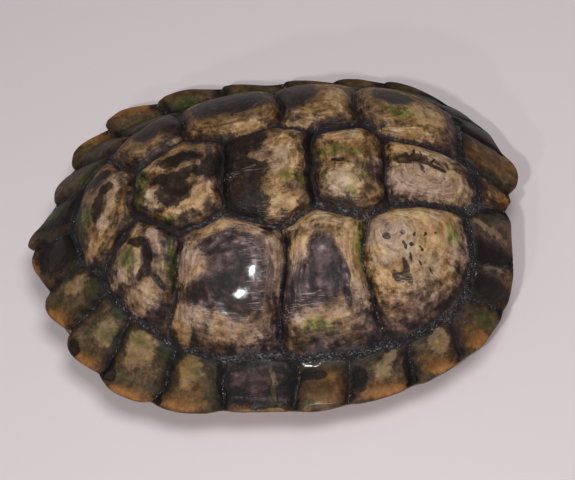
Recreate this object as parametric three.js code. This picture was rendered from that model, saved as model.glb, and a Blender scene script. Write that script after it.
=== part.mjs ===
import * as THREE from "three";

// The empty shell of a pond turtle: the domed carapace with its horny shields, and the flat
// plastron under it. Millimetres; +X is the neck end, +Y the animal's left, +Z up.
// The belly face of the plastron lies in z = 0.

// Driving dimensions
const LENGTH = 206; // over the widest-apart rim points, neck end to tail
const HALF_WIDTH = 81.6; // right half, at the sixth rim shield
const TOP = 68.5; // height of the back's seams at the middle
const WALL = 4.6; // wall of the dome, measured upright
const LIP = 2.4; // height of the rim's edge
const LIP_TUCK = 1.2; // how far the rim's lower edge sits in from its upper edge
const RIM_BAND = 12.5; // width of the rim's underside
const BELLY_THICK = 4.1; // plastron
const BRIDGE_REACH = 72.5; // half-width over the plastron's bridges
const BRIDGE_TOP = 13.7; // height of the bridges' upper edge, just under the rim
const BELLY_FLAT = 42; // half-width of the flat belly face
const SHIFT_X = -0.95; // puts the middle of the shell's box over the origin

// The smooth dome that the shields stand on: a rounded oval with a flatter crown
const DOME = {
  x0: 15.2, front: 95, rear: 115.8, side: 76.4, base: 17.8, top: 65.9, oval: 2.28, swell: 2.87, fall: 1.19,
};

function ovalShare(x, y) {
  const reach = x > DOME.x0 ? DOME.front : DOME.rear;
  const sum = (Math.abs(x - DOME.x0) / reach) ** DOME.oval + (Math.abs(y) / DOME.side) ** DOME.oval;
  return sum ** (1 / DOME.oval);
}

function domeHeight(x, y) {
  const open = Math.max(1 - ovalShare(x, y) ** DOME.swell, 0);
  return DOME.base + (DOME.top - DOME.base) * open ** DOME.fall;
}

// The smooth oval that the rim's shields scallop: middle, half-length, half-width, roundness
const RIM_OVAL = { x0: 1, long: 99, wide: 80.4, power: 2.2 };

// Points where seams meet: x, distance from the middle line, height. Each stands once on the
// right side and once, mirrored, on the left, unless it lies on the middle line.
const POINTS = {
  // middle line, neck to tail
  neckEdge: [99.5, 0, 30.6],
  neckBack: [85.6, 0, 43.4],
  back12: [50.5, 0, 62.4],
  back23: [22.5, 0, TOP - 0.6],
  back34: [-14, 0, 66.3],
  back45: [-49.7, 0, 58.6],
  backTail: [-80.5, 0, 34.2],
  tailEdge: [-98.6, 0, 21.8],
  // the zigzag between the back shields and the flank shields
  neckCorner: [85.6, 8.6, 42.9],
  shoulder: [80, 12.6, 45.4],
  zig1: [51.4, 16.3, 59.2],
  zag1: [42.2, 22.3, 61],
  zig2: [23.3, 17.7, 64.8],
  zag2: [8.1, 24.9, 61.4],
  zig3: [-13.3, 17.2, 63.8],
  zag3: [-30.5, 23, 59.3],
  zig4: [-49.7, 10.5, 56.9],
  hip: [-65.2, 28.1, 41.8],
  // along the inner edge of the rim shields, neck to tail
  in12: [81.5, 32.9, 38.4],
  in23: [77.8, 44.6, 35],
  in34: [70.2, 52.8, 33],
  in45: [54.1, 60.8, 31.5],
  flank12: [46.3, 62.6, 31.2],
  in56: [31.3, 65.6, 31],
  in67: [11.2, 65.6, 31],
  flank23: [5.5, 64.4, 31.2],
  in78: [-17.9, 63.4, 31.3],
  in89: [-36.2, 57.6, 32.4],
  flank34: [-40.4, 54.4, 33.6],
  in910: [-54, 44.4, 36.2],
  in1011: [-63.4, 33.9, 39.2],
  in1112: [-74.6, 17.6, 36.2],
  // notches of the rim between neighbouring shields
  out01: [96.6, 3.8, 29.8],
  out12: [97.9, 27, 25],
  out23: [92.2, 44.9, 20.2],
  out34: [75, 63.8, 18],
  out45: [55, 73.5, 17.4],
  out56: [28.9, 79.7, 16.9],
  out67: [7.3, 81, 16.8],
  out78: [-20.6, 78.9, 17.6],
  out89: [-48.4, 73.7, 18.8],
  out910: [-69.6, 60.1, 20.2],
  out1011: [-81, 39.7, 21.2],
  out1112: [-91, 21.3, 21.9],
};

// The left side isn't a perfect mirror of the right
const LEFT_POINTS = {
  flank12: [42, 62.4, 31.2],
  flank34: [-37.4, 54.6, 33.8],
  in89: [-34, 58.2, 32.4],
  in1112: [-76.4, 18, 36],
  out01: [98.9, 4.6, 29.6],
  out12: [98.7, 28, 25],
  out23: [91.3, 46.2, 20.2],
  out34: [78.3, 60.9, 18],
  out45: [51.5, 76.4, 17.4],
  out56: [29, 79.4, 16.9],
  out67: [7.4, 81.2, 16.8],
  out78: [-20.2, 80.4, 17.6],
  out89: [-48.6, 74.2, 18.8],
  out910: [-69.8, 61, 20.2],
  out1011: [-83.2, 40.4, 21.2],
  out1112: [-90.5, 21.8, 21.9],
};

// The free edge of each rim shield between its two notches, neck side first. The rear shields
// end in a blunt tip that reaches over the next shield.
const EDGES = {
  R1: [[98.6, 8.6, 28.6], [98.4, 15, 27.2], [98.2, 21.6, 26]],
  R2: [[97.6, 31, 23.6], [96.2, 36.8, 22.2], [94.6, 41.4, 21]],
  R3: [[90.8, 48.6, 19.6], [87.6, 52.8, 18.8], [82.6, 58.8, 18.2]],
  R4: [[70.6, 67, 17.6], [65, 70, 17.4], [60, 72.4, 17.2]],
  R5: [[49.4, 75.9, 17], [43.2, 77.7, 16.8], [35.4, 79.3, 16.7]],
  R6: [[23.4, HALF_WIDTH - 0.8, 16.5], [17.8, HALF_WIDTH, 16.5], [12.4, HALF_WIDTH, 16.6]],
  R7: [[0.8, 80.7, 16.8], [-6.4, 80.4, 17], [-14.6, 80, 17.3]],
  R8: [[-27.6, 79.6, 17.4], [-36.4, 78.7, 17.5], [-42.8, 76.9, 17.7], [-46.6, 75, 18]],
  R9: [[-53.6, 73, 18.4], [-59.4, 70.6, 18.3], [-65, 67.2, 18.4], [-68.6, 62.6, 18.8]],
  R10: [[-73.6, 57, 19.1], [-78.8, 53, 19], [-82.2, 49, 19], [-83.3, 44.6, 19.4]],
  R11: [[-84.6, 37.9, 20.2], [-89, 34, 19.6], [-92, 30.6, 19.4], [-93.3, 26.6, 19.6]],
  R12: [[-93.8, 17.2, 20.8], [-96.6, 12.8, 20.2], [-99, 8.6, 19.9], [-100.1, 4.2, 20.2]],
};
const LEFT_EDGES = {
  R1: [[101.2, 7.2, 28.8], [103, 10, 28.2], [LENGTH / 2 + 0.9, 15.6, 27.2], [102.6, 21.6, 26.2]],
  R2: [[97.6, 31.6, 23.8], [96.4, 35.8, 22.6], [94.4, 41.6, 21.2]],
  R3: [[88.7, 50, 19.2], [85.6, 54.2, 18.8], [82, 58, 18.4]],
  R4: [[74.3, 65.2, 17.6], [68.6, 70, 17.4], [62.4, 74, 17.3], [54.6, 77.2, 17.2]],
  R5: [[46, 78.6, 16.9], [39.3, 80.6, 16.7], [32, 81, 16.7]],
  R6: [[22, 81.4, 16.5], [15, 82.4, 16.5], [8.8, 82.6, 16.6]],
  R7: [[0, 81, 16.8], [-7, 82, 16.9], [-13, 82.6, 17], [-18.9, 82.4, 17.3]],
  R8: [[-27.6, 81.2, 17.4], [-35.4, 81.6, 17.5], [-42, 80, 17.6], [-47.8, 76.8, 18.1]],
  R9: [[-56.4, 74, 18.4], [-64.6, 72.2, 18.3], [-68.6, 69, 18.4], [-71.6, 65, 18.8]],
  R10: [[-77, 58, 19.2], [-82.2, 54.2, 19], [-85.2, 49.6, 19], [-85.6, 43.8, 19.4]],
  R11: [[-87.4, 36.8, 19.9], [-90.6, 33, 19.5], [-92.2, 29, 19.4], [-92.2, 25.2, 19.7]],
  R12: [[-93.8, 17.4, 20.6], [-98, 11.4, 20], [-101.2, 7.2, 19.9], [-LENGTH / 2 + 0.8, 3, 20.2]],
};

// Each shield: the points round it, how far its growth centre sits from its middle (x, away from
// the middle line), how high it stands over its seams, and how far a rear rim shield laps over the
// next one. Shields on the middle line list their right half.
const BACK = {
  neck: { ring: ["neckEdge", "out01", "neckCorner", "neckBack"], off: [-1, 0], peak: 0.8 },
  V1: { ring: ["neckBack", "neckCorner", "shoulder", "zig1", "back12"], off: [-2, 0], peak: 3 },
  V2: { ring: ["back12", "zig1", "zag1", "zig2", "back23"], off: [-2, 0], peak: 3.2 },
  V3: { ring: ["back23", "zig2", "zag2", "zig3", "back34"], off: [-4, 0], peak: 3.6 },
  V4: { ring: ["back34", "zig3", "zag3", "zig4", "back45"], off: [-3, 0], peak: 4.2 },
  V5: { ring: ["back45", "zig4", "hip", "in1112", "backTail"], off: [3, 0], peak: 4.6 },
};
const FLANK = {
  C1: {
    ring: ["shoulder", "zig1", "zag1", "flank12", "in45", "in34", "in23", "in12"],
    off: [-2, -2], peak: 4.4,
  },
  C2: { ring: ["zag1", "zig2", "zag2", "flank23", "in67", "in56", "flank12"], off: [-1, -3], peak: 4.6 },
  C3: { ring: ["zag2", "zig3", "zag3", "flank34", "in89", "in78", "flank23"], off: [-2, -3], peak: 4.6 },
  C4: { ring: ["zag3", "zig4", "hip", "in1011", "in910", "flank34"], off: [-1, -2], peak: 4.8 },
};
const RIM = {
  R1: { ring: ["neckCorner", "shoulder", "in12", "out12", "R1", "out01"], peak: 1.2 },
  R2: { ring: ["in12", "in23", "out23", "R2", "out12"], peak: 1.2 },
  R3: { ring: ["in23", "in34", "out34", "R3", "out23"], peak: 1.2 },
  R4: { ring: ["in34", "in45", "out45", "R4", "out34"], peak: 1.3 },
  R5: { ring: ["in45", "flank12", "in56", "out56", "R5", "out45"], peak: 1.4 },
  R6: { ring: ["in56", "in67", "out67", "R6", "out56"], peak: 1.4 },
  R7: { ring: ["in67", "flank23", "in78", "out78", "R7", "out67"], peak: 1.5 },
  R8: { ring: ["in78", "in89", "out89", "R8", "out78"], peak: 1.8, lap: 1.1 },
  R9: { ring: ["in89", "flank34", "in910", "out910", "R9", "out89"], peak: 1.9, lap: 1.5 },
  R10: { ring: ["in910", "in1011", "out1011", "R10", "out910"], peak: 1.9, lap: 1.6 },
  R11: { ring: ["in1011", "hip", "in1112", "out1112", "R11", "out1011"], peak: 1.9, lap: 1.6 },
  R12: { ring: ["in1112", "backTail", "tailEdge", "R12", "out1112"], peak: 1.6, lap: 1.2 },
};

// How far a seam bows towards the tail at its middle, and its swing forward near the end whose
// name comes first in the alphabet
const BOWS = {
  "flank12 zag1": [4.5, 0],
  "flank23 zag2": [-0.6, -1.8],
  "flank34 zag3": [-1.3, 0],
  "back45 zig4": [1.6, 0],
  "back12 zig1": [1, 0],
  "back23 zig2": [1, 0],
};

const SEAM_STEP = 6.5; // spacing of the points along a seam
const RINGS = [0.93, 0.78, 0.52, 0.26]; // where the mesh of a shield has its inner rings
const RIM_RINGS = [0.88, 0.62, 0.3];

// side is -1 for the right and +1 for the left
function pointAt(name, side) {
  const [x, y, z] = side > 0 && LEFT_POINTS[name] ? LEFT_POINTS[name] : POINTS[name];
  return new THREE.Vector3(x, y * side, z);
}

// A seam from one meeting point to the next, following the dome between them; the same points
// come back whichever of the two shields beside it asks.
function seam(nameA, nameB, side) {
  const flip = nameA > nameB;
  const a = pointAt(flip ? nameB : nameA, side);
  const b = pointAt(flip ? nameA : nameB, side);
  const steps = Math.max(1, Math.round(a.distanceTo(b) / SEAM_STEP));
  const [bow, swing] = BOWS[flip ? `${nameB} ${nameA}` : `${nameA} ${nameB}`] ?? [0, 0];
  const points = [];
  for (let i = 0; i <= steps; i += 1) {
    const u = i / steps;
    const p = a.clone().lerp(b, u);
    p.x += swing * Math.sin(2 * Math.PI * u) - bow * Math.sin(Math.PI * u);
    const chord = domeHeight(a.x, a.y) * (1 - u) + domeHeight(b.x, b.y) * u;
    p.z += domeHeight(p.x, p.y) - chord;
    points.push(p);
  }
  if (flip) points.reverse();
  return points;
}

function edgePoints(name, side) {
  const list = side > 0 && LEFT_EDGES[name] ? LEFT_EDGES[name] : EDGES[name];
  return list.map(([x, y, z]) => new THREE.Vector3(x, y * side, z));
}

// The closed outline of a shield. A name from EDGES in the ring stands for that shield's free
// edge, which runs from its neck side, so it comes between its two notches tail side first.
function outlineOf(ring, side, closed = true) {
  const points = [];
  const count = closed ? ring.length : ring.length - 1;
  for (let i = 0; i < count; i += 1) {
    const here = ring[i];
    const next = ring[(i + 1) % ring.length];
    if (EDGES[here]) continue;
    if (EDGES[next]) {
      points.push({ at: pointAt(here, side), seam: false });
      edgePoints(next, side).reverse().forEach((at) => points.push({ at, seam: false }));
    } else {
      seam(here, next, side).slice(0, -1).forEach((at) => points.push({ at, seam: true }));
    }
  }
  if (!closed) points.push({ at: pointAt(ring[ring.length - 1], side), seam: true });
  return points;
}

// A shield on the middle line: its right half, then the left half mirrored back.
function fullOutline(ring) {
  const right = outlineOf(ring, -1, false);
  const left = outlineOf(ring, 1, false).reverse().slice(1, -1);
  return right.concat(left);
}

class Surface {
  constructor() {
    this.corners = [];
  }

  triangle(a, b, c) {
    this.corners.push(a, b, c);
  }

  // Joins two rings of the same length; both run anticlockwise seen from outside, outer first.
  band(outer, inner) {
    for (let i = 0; i < outer.length; i += 1) {
      const j = (i + 1) % outer.length;
      this.triangle(outer[i], outer[j], inner[j]);
      this.triangle(outer[i], inner[j], inner[i]);
    }
  }

  fan(ring, centre) {
    for (let i = 0; i < ring.length; i += 1) {
      this.triangle(ring[i], ring[(i + 1) % ring.length], centre);
    }
  }

  geometry() {
    const values = new Float32Array(this.corners.length * 3);
    this.corners.forEach((p, i) => values.set([p.x + SHIFT_X, p.y, p.z], i * 3));
    const geometry = new THREE.BufferGeometry();
    geometry.setAttribute("position", new THREE.BufferAttribute(values, 3));
    geometry.computeVertexNormals();
    return geometry;
  }
}

function turnsLeft(points) {
  let area = 0;
  points.forEach(({ at }, i) => {
    const next = points[(i + 1) % points.length].at;
    area += at.x * next.y - next.x * at.y;
  });
  return area > 0;
}

function middleOf(points) {
  const middle = new THREE.Vector3();
  let sum = 0;
  points.forEach(({ at }, i) => {
    const next = points[(i + 1) % points.length].at;
    const long = at.distanceTo(next);
    middle.addScaledVector(at.clone().add(next), long / 2);
    sum += long;
  });
  return middle.divideScalar(sum);
}

// The ellipse that follows an outline most closely, point for point, about the given centre.
function ellipseOf(points, centre) {
  const wave = [0, 0, 0, 0];
  const count = points.length;
  points.forEach(({ at }, i) => {
    const turn = (2 * Math.PI * i) / count;
    wave[0] += ((at.x - centre.x) * Math.cos(turn) * 2) / count;
    wave[1] += ((at.x - centre.x) * Math.sin(turn) * 2) / count;
    wave[2] += ((at.y - centre.y) * Math.cos(turn) * 2) / count;
    wave[3] += ((at.y - centre.y) * Math.sin(turn) * 2) / count;
  });
  return points.map((_, i) => {
    const turn = (2 * Math.PI * i) / count;
    const x = wave[0] * Math.cos(turn) + wave[1] * Math.sin(turn);
    const y = wave[2] * Math.cos(turn) + wave[3] * Math.sin(turn);
    return [x, y];
  });
}

// One horny shield: rings shrink and round off from the outline to the growth centre while the
// surface swells over the dome, falls steeply into the seams and rolls over at the free edge.
function addShield(surface, outline, { off = [0, 0], peak = 2, lap = 0 }, side, rings) {
  const points = turnsLeft(outline) ? outline : outline.slice().reverse();
  const centre = middleOf(points);
  centre.x += off[0];
  centre.y += off[1] * side;
  const round = ellipseOf(points, centre);
  const lift = points.map(({ at }) => at.z - domeHeight(at.x, at.y));
  const meanLift = lift.reduce((a, b) => a + b, 0) / lift.length;
  const place = (i, t) => {
    const { at, seam: inSeam } = points[i];
    const own = t * t;
    const x = centre.x + ((at.x - centre.x) * own + round[i][0] * (1 - own)) * t;
    const y = centre.y + ((at.y - centre.y) * own + round[i][1] * (1 - own)) * t;
    const rise = peak * (1 - t ** 3) ** (inSeam ? 1.3 : 0.8);
    const held = t ** 3;
    const z = domeHeight(x, y) + lift[i] * held + meanLift * (1 - held) + rise;
    return new THREE.Vector3(x, y, z + lap * lapShare(x, y));
  };
  // A shield with a lap stands highest at the tail end of its free edge, over the next shield
  const free = points.filter(({ seam: inSeam }) => !inSeam).map(({ at }) => at);
  free.sort((a, b) => a.x - b.x);
  const lapShare = (x, y) => {
    if (free.length < 2) return 0;
    const tail = free[0];
    const neck = free[free.length - 1];
    const dx = neck.x - tail.x;
    const dy = neck.y - tail.y;
    const share = ((x - tail.x) * dx + (y - tail.y) * dy) / (dx * dx + dy * dy);
    const inward = Math.min(...free.map((p) => Math.hypot(x - p.x, y - p.y)));
    return (1 - Math.min(Math.max(share, 0), 1)) ** 1.5 * Math.max(1 - inward / 22, 0);
  };
  let outer = points.map(({ at }) => at);
  rings.forEach((t) => {
    const inner = points.map((_, i) => place(i, t));
    surface.band(outer, inner);
    outer = inner;
  });
  surface.fan(outer, place(0, 0));
}

// The free edge of the whole rim, anticlockwise from the neck.
function rimLoop() {
  const half = (side) => {
    const points = [];
    Object.keys(RIM).forEach((name, i) => {
      const notch = `out${i}${i + 1}`;
      points.push(pointAt(notch, side));
      points.push(...edgePoints(name, side));
    });
    return points;
  };
  const left = half(1);
  const right = half(-1).reverse();
  return [pointAt("neckEdge", 1), ...left, pointAt("tailEdge", 1), ...right];
}

// Where the ray from the shell's middle through a rim point crosses the rim's oval, drawn in
// by a given width.
function ovalPoint(rim, drawnIn) {
  const dx = rim.x - RIM_OVAL.x0;
  const { long, wide, power } = RIM_OVAL;
  const share = ((Math.abs(dx) / long) ** power + (Math.abs(rim.y) / wide) ** power) ** (1 / power);
  const reach = Math.hypot(dx, rim.y);
  const k = (reach / share - drawnIn) / reach;
  return [RIM_OVAL.x0 + dx * k, rim.y * k];
}

function buildCarapace() {
  const surface = new Surface();
  Object.entries(BACK).forEach(([, shape]) => addShield(surface, fullOutline(shape.ring), shape, 1, RINGS));
  [-1, 1].forEach((side) => {
    Object.values(FLANK).forEach((shape) => addShield(surface, outlineOf(shape.ring, side), shape, side, RINGS));
    Object.values(RIM).forEach((shape) => {
      addShield(surface, outlineOf(shape.ring, side), shape, side, RIM_RINGS);
    });
  });

  // Underside, from the rim's edge inwards: the lip, the flat band, then the hollow of the dome
  const rim = rimLoop();
  const flatBand = (drawnIn, drop) => rim.map((p) => {
    const [x, y] = ovalPoint(p, drawnIn);
    return new THREE.Vector3(x, y, p.z - drop);
  });
  const lip = rim.map((p) => {
    const out = Math.hypot(p.x - RIM_OVAL.x0, p.y);
    const k = (out - LIP_TUCK) / out;
    return new THREE.Vector3(RIM_OVAL.x0 + (p.x - RIM_OVAL.x0) * k, p.y * k, p.z - LIP);
  });
  const inner = flatBand(RIM_BAND, LIP + 0.2);
  const hollow = [0.985, 0.94, 0.86, 0.74, 0.58, 0.4, 0.2].map((t, step) => inner.map((p) => {
    const x = RIM_OVAL.x0 + (p.x - RIM_OVAL.x0) * t;
    const y = p.y * t;
    const roof = domeHeight(x, y) - WALL;
    return new THREE.Vector3(x, y, step === 0 ? Math.min(p.z + 3.4, roof) : roof);
  }));
  const rings = [rim, lip, flatBand(6.5, LIP + 0.4), inner, ...hollow];
  for (let i = 0; i + 1 < rings.length; i += 1) {
    const out = rings[i].slice().reverse();
    surface.band(out, rings[i + 1].slice().reverse());
  }
  const last = rings[rings.length - 1].slice().reverse();
  surface.fan(last, new THREE.Vector3(RIM_OVAL.x0, 0, domeHeight(RIM_OVAL.x0, 0) - WALL));
  return surface.geometry();
}

// Plastron: half-width along the body and how much the front and rear lobes turn up
const BELLY = [
  { x: 88.5, half: 10, up: 5.4 },
  { x: 86, half: 20, up: 4.6 },
  { x: 81, half: 28, up: 3.4 },
  { x: 72, half: 34.5, up: 1.6 },
  { x: 64, half: 38, up: 0.5 },
  { x: 58, half: 41, up: 0 },
  { x: 54.6, half: 45.5, up: 0 },
  { x: 52, half: 53, up: 0 },
  { x: 49.6, half: 63, up: 0 },
  { x: 46, half: BRIDGE_REACH - 3, up: 0 },
  { x: 40, half: BRIDGE_REACH, up: 0 },
  { x: 27, half: BRIDGE_REACH, up: 0 },
  { x: 25.6, half: BRIDGE_REACH, up: 0, groove: true },
  { x: 24.2, half: BRIDGE_REACH, up: 0 },
  { x: 9, half: BRIDGE_REACH + 0.6, up: 0 },
  { x: -6, half: BRIDGE_REACH, up: 0 },
  { x: -19, half: BRIDGE_REACH - 1, up: 0 },
  { x: -24.6, half: 66, up: 0 },
  { x: -28.2, half: 56, up: 0 },
  { x: -30.8, half: 48, up: 0 },
  { x: -33.6, half: 43.5, up: 0 },
  { x: -35, half: 42.5, up: 0, groove: true },
  { x: -36.4, half: 41.8, up: 0 },
  { x: -48, half: 40, up: 0 },
  { x: -57.6, half: 37.6, up: 0 },
  { x: -59, half: 37, up: 0, groove: true },
  { x: -60.4, half: 36.4, up: 0 },
  { x: -68, half: 32.6, up: 0.3 },
  { x: -76, half: 27.6, up: 1 },
  { x: -82, half: 21.6, up: 1.8 },
  { x: -85.4, half: 15, up: 2.4 },
];
const NOTCH = { start: -66, depth: 7 }; // the rear lobe's notch on the middle line
const ACROSS = [0, 0.16, 0.34, 0.5, 0.6, 0.72, 0.85, 0.95, 1];
const GROOVE = 0.5;

function bridgeRise(y) {
  const u = Math.min(Math.max((Math.abs(y) - BELLY_FLAT) / (BRIDGE_REACH - BELLY_FLAT), 0), 1.02);
  return (BRIDGE_TOP - BELLY_THICK + 0.2) * u ** 1.35;
}

function buildPlastron() {
  const columns = [...ACROSS.slice(1).reverse().map((u) => -u), ...ACROSS];
  const row = ({ x, half, up, groove }, top) => columns.map((u) => {
    const y = u * half;
    const edge = Math.abs(u) ** 6;
    const shape = Math.max(NOTCH.start - x, 0) / (NOTCH.start + 85.4);
    const pull = NOTCH.depth * shape * shape * (1 - Math.min(Math.abs(y) / 13, 1)) ** 1.4;
    const bottom = bridgeRise(y) + up * (0.4 + 0.6 * u * u) + (groove && Math.abs(u) < 0.97 ? GROOVE : 0);
    const thick = BELLY_THICK * (1 - 0.3 * edge * (half < 60 ? 1 : 0));
    const z = top ? bridgeRise(y) + up * (0.4 + 0.6 * u * u) + thick : bottom;
    return new THREE.Vector3(x + pull, y, top && half > 60 ? Math.min(z, BRIDGE_TOP) : z);
  });
  const low = BELLY.map((station) => row(station, false));
  const high = BELLY.map((station) => row(station, true));
  const surface = new Surface();
  const quad = (a, b, c, d) => {
    surface.triangle(a, b, c);
    surface.triangle(a, c, d);
  };
  const last = columns.length - 1;
  const end = BELLY.length - 1;
  // Rows run from the neck end (+X) to the tail, columns from -Y to +Y
  for (let i = 0; i < end; i += 1) {
    for (let j = 0; j < last; j += 1) {
      quad(high[i][j], high[i][j + 1], high[i + 1][j + 1], high[i + 1][j]);
      quad(low[i][j], low[i + 1][j], low[i + 1][j + 1], low[i][j + 1]);
    }
    quad(low[i][0], high[i][0], high[i + 1][0], low[i + 1][0]);
    quad(low[i][last], low[i + 1][last], high[i + 1][last], high[i][last]);
  }
  for (let j = 0; j < last; j += 1) {
    quad(low[0][j], low[0][j + 1], high[0][j + 1], high[0][j]);
    quad(low[end][j], high[end][j], high[end][j + 1], low[end][j + 1]);
  }
  return surface.geometry();
}

const shell = new THREE.Group();
shell.name = "turtle_shell";

const horn = new THREE.MeshStandardMaterial({ color: 0x6b5236, roughness: 0.5, metalness: 0, flatShading: true });
const belly = new THREE.MeshStandardMaterial({ color: 0xc2a45e, roughness: 0.55, metalness: 0, flatShading: true });

const carapace = new THREE.Mesh(buildCarapace(), horn);
carapace.name = "carapace";
shell.add(carapace);

const plastron = new THREE.Mesh(buildPlastron(), belly);
plastron.name = "plastron";
shell.add(plastron);

export default shell;
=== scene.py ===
"""The look of an empty pond turtle shell: domed carapace with horny shields, flat plastron.

Lengths in the tables are millimetres in the shell's own frame: +X neck end, +Y the animal's
left, +Z up, with the belly face in z = 0. Blender's objects are in metres.
"""

import logging
import math
from dataclasses import dataclass, field
from enum import Enum
from typing import Iterable, Sequence

import bpy
import numpy as np
from mathutils import Matrix, Vector

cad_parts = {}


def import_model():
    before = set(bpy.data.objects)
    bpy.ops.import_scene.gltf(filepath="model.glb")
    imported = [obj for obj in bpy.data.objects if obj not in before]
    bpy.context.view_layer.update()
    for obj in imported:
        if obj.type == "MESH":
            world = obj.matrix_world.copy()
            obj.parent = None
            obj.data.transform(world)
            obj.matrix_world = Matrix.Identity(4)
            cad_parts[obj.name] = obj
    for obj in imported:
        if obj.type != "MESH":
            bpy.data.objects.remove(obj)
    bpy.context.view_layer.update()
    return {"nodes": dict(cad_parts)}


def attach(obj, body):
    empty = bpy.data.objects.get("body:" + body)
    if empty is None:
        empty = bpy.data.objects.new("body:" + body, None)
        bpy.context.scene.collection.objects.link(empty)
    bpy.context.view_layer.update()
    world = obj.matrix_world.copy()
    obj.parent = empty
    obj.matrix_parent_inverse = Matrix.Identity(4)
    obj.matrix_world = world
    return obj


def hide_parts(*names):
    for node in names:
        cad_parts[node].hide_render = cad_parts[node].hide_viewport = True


LOG = logging.getLogger("turtle_shell")
MM = 0.001
SHIFT_X = -0.95  # puts the middle of the shell's box over the origin

Place = tuple[float, float, float]


class Side(Enum):
    """Which half of the shell a shield belongs to; the value is the sign of y."""

    RIGHT = -1
    LEFT = 1


class Stain(Enum):
    """What a mark on the horn is; each is a field of its own on the mesh."""

    DARK = "dark"
    PALE = "pale"
    ALGAE = "algae"
    RUST = "rust"
    PLUM = "plum"
    WET = "wet"
    SCRATCH = "scratch"


@dataclass(frozen=True)
class Dome:
    """The smooth dome that the shields stand on: a rounded oval with a flatter crown.

    Attributes:
        x0: Where it is widest and highest.
        front: Its reach from there to the neck end.
        rear: Its reach to the tail end.
        side: Its reach to each side.
        base: Height of its border.
        top: Height of its crown.
        oval: How square its plan is; 2 is an ellipse.
        swell: How far out its crown stays flat.
        fall: How steeply it falls at the border.
    """

    x0: float = 15.2
    front: float = 95.0
    rear: float = 115.8
    side: float = 76.4
    base: float = 17.8
    top: float = 65.9
    oval: float = 2.28
    swell: float = 2.87
    fall: float = 1.19

    def height(self, x: np.ndarray, y: np.ndarray) -> np.ndarray:
        """Height of the dome over plan points.

        Args:
            x: Places along the shell.
            y: Places across it.

        Returns:
            The heights, in millimetres.
        """
        reach = np.where(x > self.x0, self.front, self.rear)
        total = (np.abs(x - self.x0) / reach) ** self.oval + (np.abs(y) / self.side) ** self.oval
        share = total ** (1 / self.oval)
        open_part = np.maximum(1 - share**self.swell, 0)
        return self.base + (self.top - self.base) * open_part**self.fall


@dataclass(frozen=True)
class RimOval:
    """The oval that the rim follows within its notches."""

    x0: float = 1.0
    long: float = 99.0
    wide: float = 80.4
    power: float = 2.2

    def share(self, ray: np.ndarray) -> np.ndarray:
        """How far out plan points lie, as a share of the oval.

        Args:
            ray: The points, from the oval's middle.

        Returns:
            Their shares: 1 on the oval.
        """
        long, wide = np.abs(ray[:, 0]) / self.long, np.abs(ray[:, 1]) / self.wide
        return (long**self.power + wide**self.power) ** (1 / self.power)


DOME = Dome()
RIM_OVAL = RimOval()

# Where seams meet: x, distance from the middle line, height
POINTS: dict[str, Place] = {
    "neckEdge": (99.5, 0, 30.6), "neckBack": (85.6, 0, 43.4), "back12": (50.5, 0, 62.4),
    "back23": (22.5, 0, 67.9), "back34": (-14, 0, 66.3), "back45": (-49.7, 0, 58.6),
    "backTail": (-80.5, 0, 34.2), "tailEdge": (-98.6, 0, 21.8),
    "neckCorner": (85.6, 8.6, 42.9), "shoulder": (80, 12.6, 45.4), "zig1": (51.4, 16.3, 59.2),
    "zag1": (42.2, 22.3, 61), "zig2": (23.3, 17.7, 64.8), "zag2": (8.1, 24.9, 61.4),
    "zig3": (-13.3, 17.2, 63.8), "zag3": (-30.5, 23, 59.3), "zig4": (-49.7, 10.5, 56.9),
    "hip": (-65.2, 28.1, 41.8),
    "in12": (81.5, 32.9, 38.4), "in23": (77.8, 44.6, 35), "in34": (70.2, 52.8, 33),
    "in45": (54.1, 60.8, 31.5), "flank12": (46.3, 62.6, 31.2), "in56": (31.3, 65.6, 31),
    "in67": (11.2, 65.6, 31), "flank23": (5.5, 64.4, 31.2), "in78": (-17.9, 63.4, 31.3),
    "in89": (-36.2, 57.6, 32.4), "flank34": (-40.4, 54.4, 33.6), "in910": (-54, 44.4, 36.2),
    "in1011": (-63.4, 33.9, 39.2), "in1112": (-74.6, 17.6, 36.2),
    "out01": (96.6, 3.8, 29.8), "out12": (97.9, 27, 25), "out23": (92.2, 44.9, 20.2),
    "out34": (75, 63.8, 18), "out45": (55, 73.5, 17.4), "out56": (28.9, 79.7, 16.9),
    "out67": (7.3, 81, 16.8), "out78": (-20.6, 78.9, 17.6), "out89": (-48.4, 73.7, 18.8),
    "out910": (-69.6, 60.1, 20.2), "out1011": (-81, 39.7, 21.2), "out1112": (-91, 21.3, 21.9),
}
# The left side isn't a perfect mirror of the right
LEFT_POINTS: dict[str, Place] = {
    "flank12": (42, 62.4, 31.2), "flank34": (-37.4, 54.6, 33.8), "in89": (-34, 58.2, 32.4),
    "in1112": (-76.4, 18, 36), "out01": (98.9, 4.6, 29.6), "out12": (98.7, 28, 25),
    "out23": (91.3, 46.2, 20.2), "out34": (78.3, 60.9, 18), "out45": (51.5, 76.4, 17.4),
    "out56": (29, 79.4, 16.9), "out67": (7.4, 81.2, 16.8), "out78": (-20.2, 80.4, 17.6),
    "out89": (-48.6, 74.2, 18.8), "out910": (-69.8, 61, 20.2), "out1011": (-83.2, 40.4, 21.2),
    "out1112": (-90.5, 21.8, 21.9),
}
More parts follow.
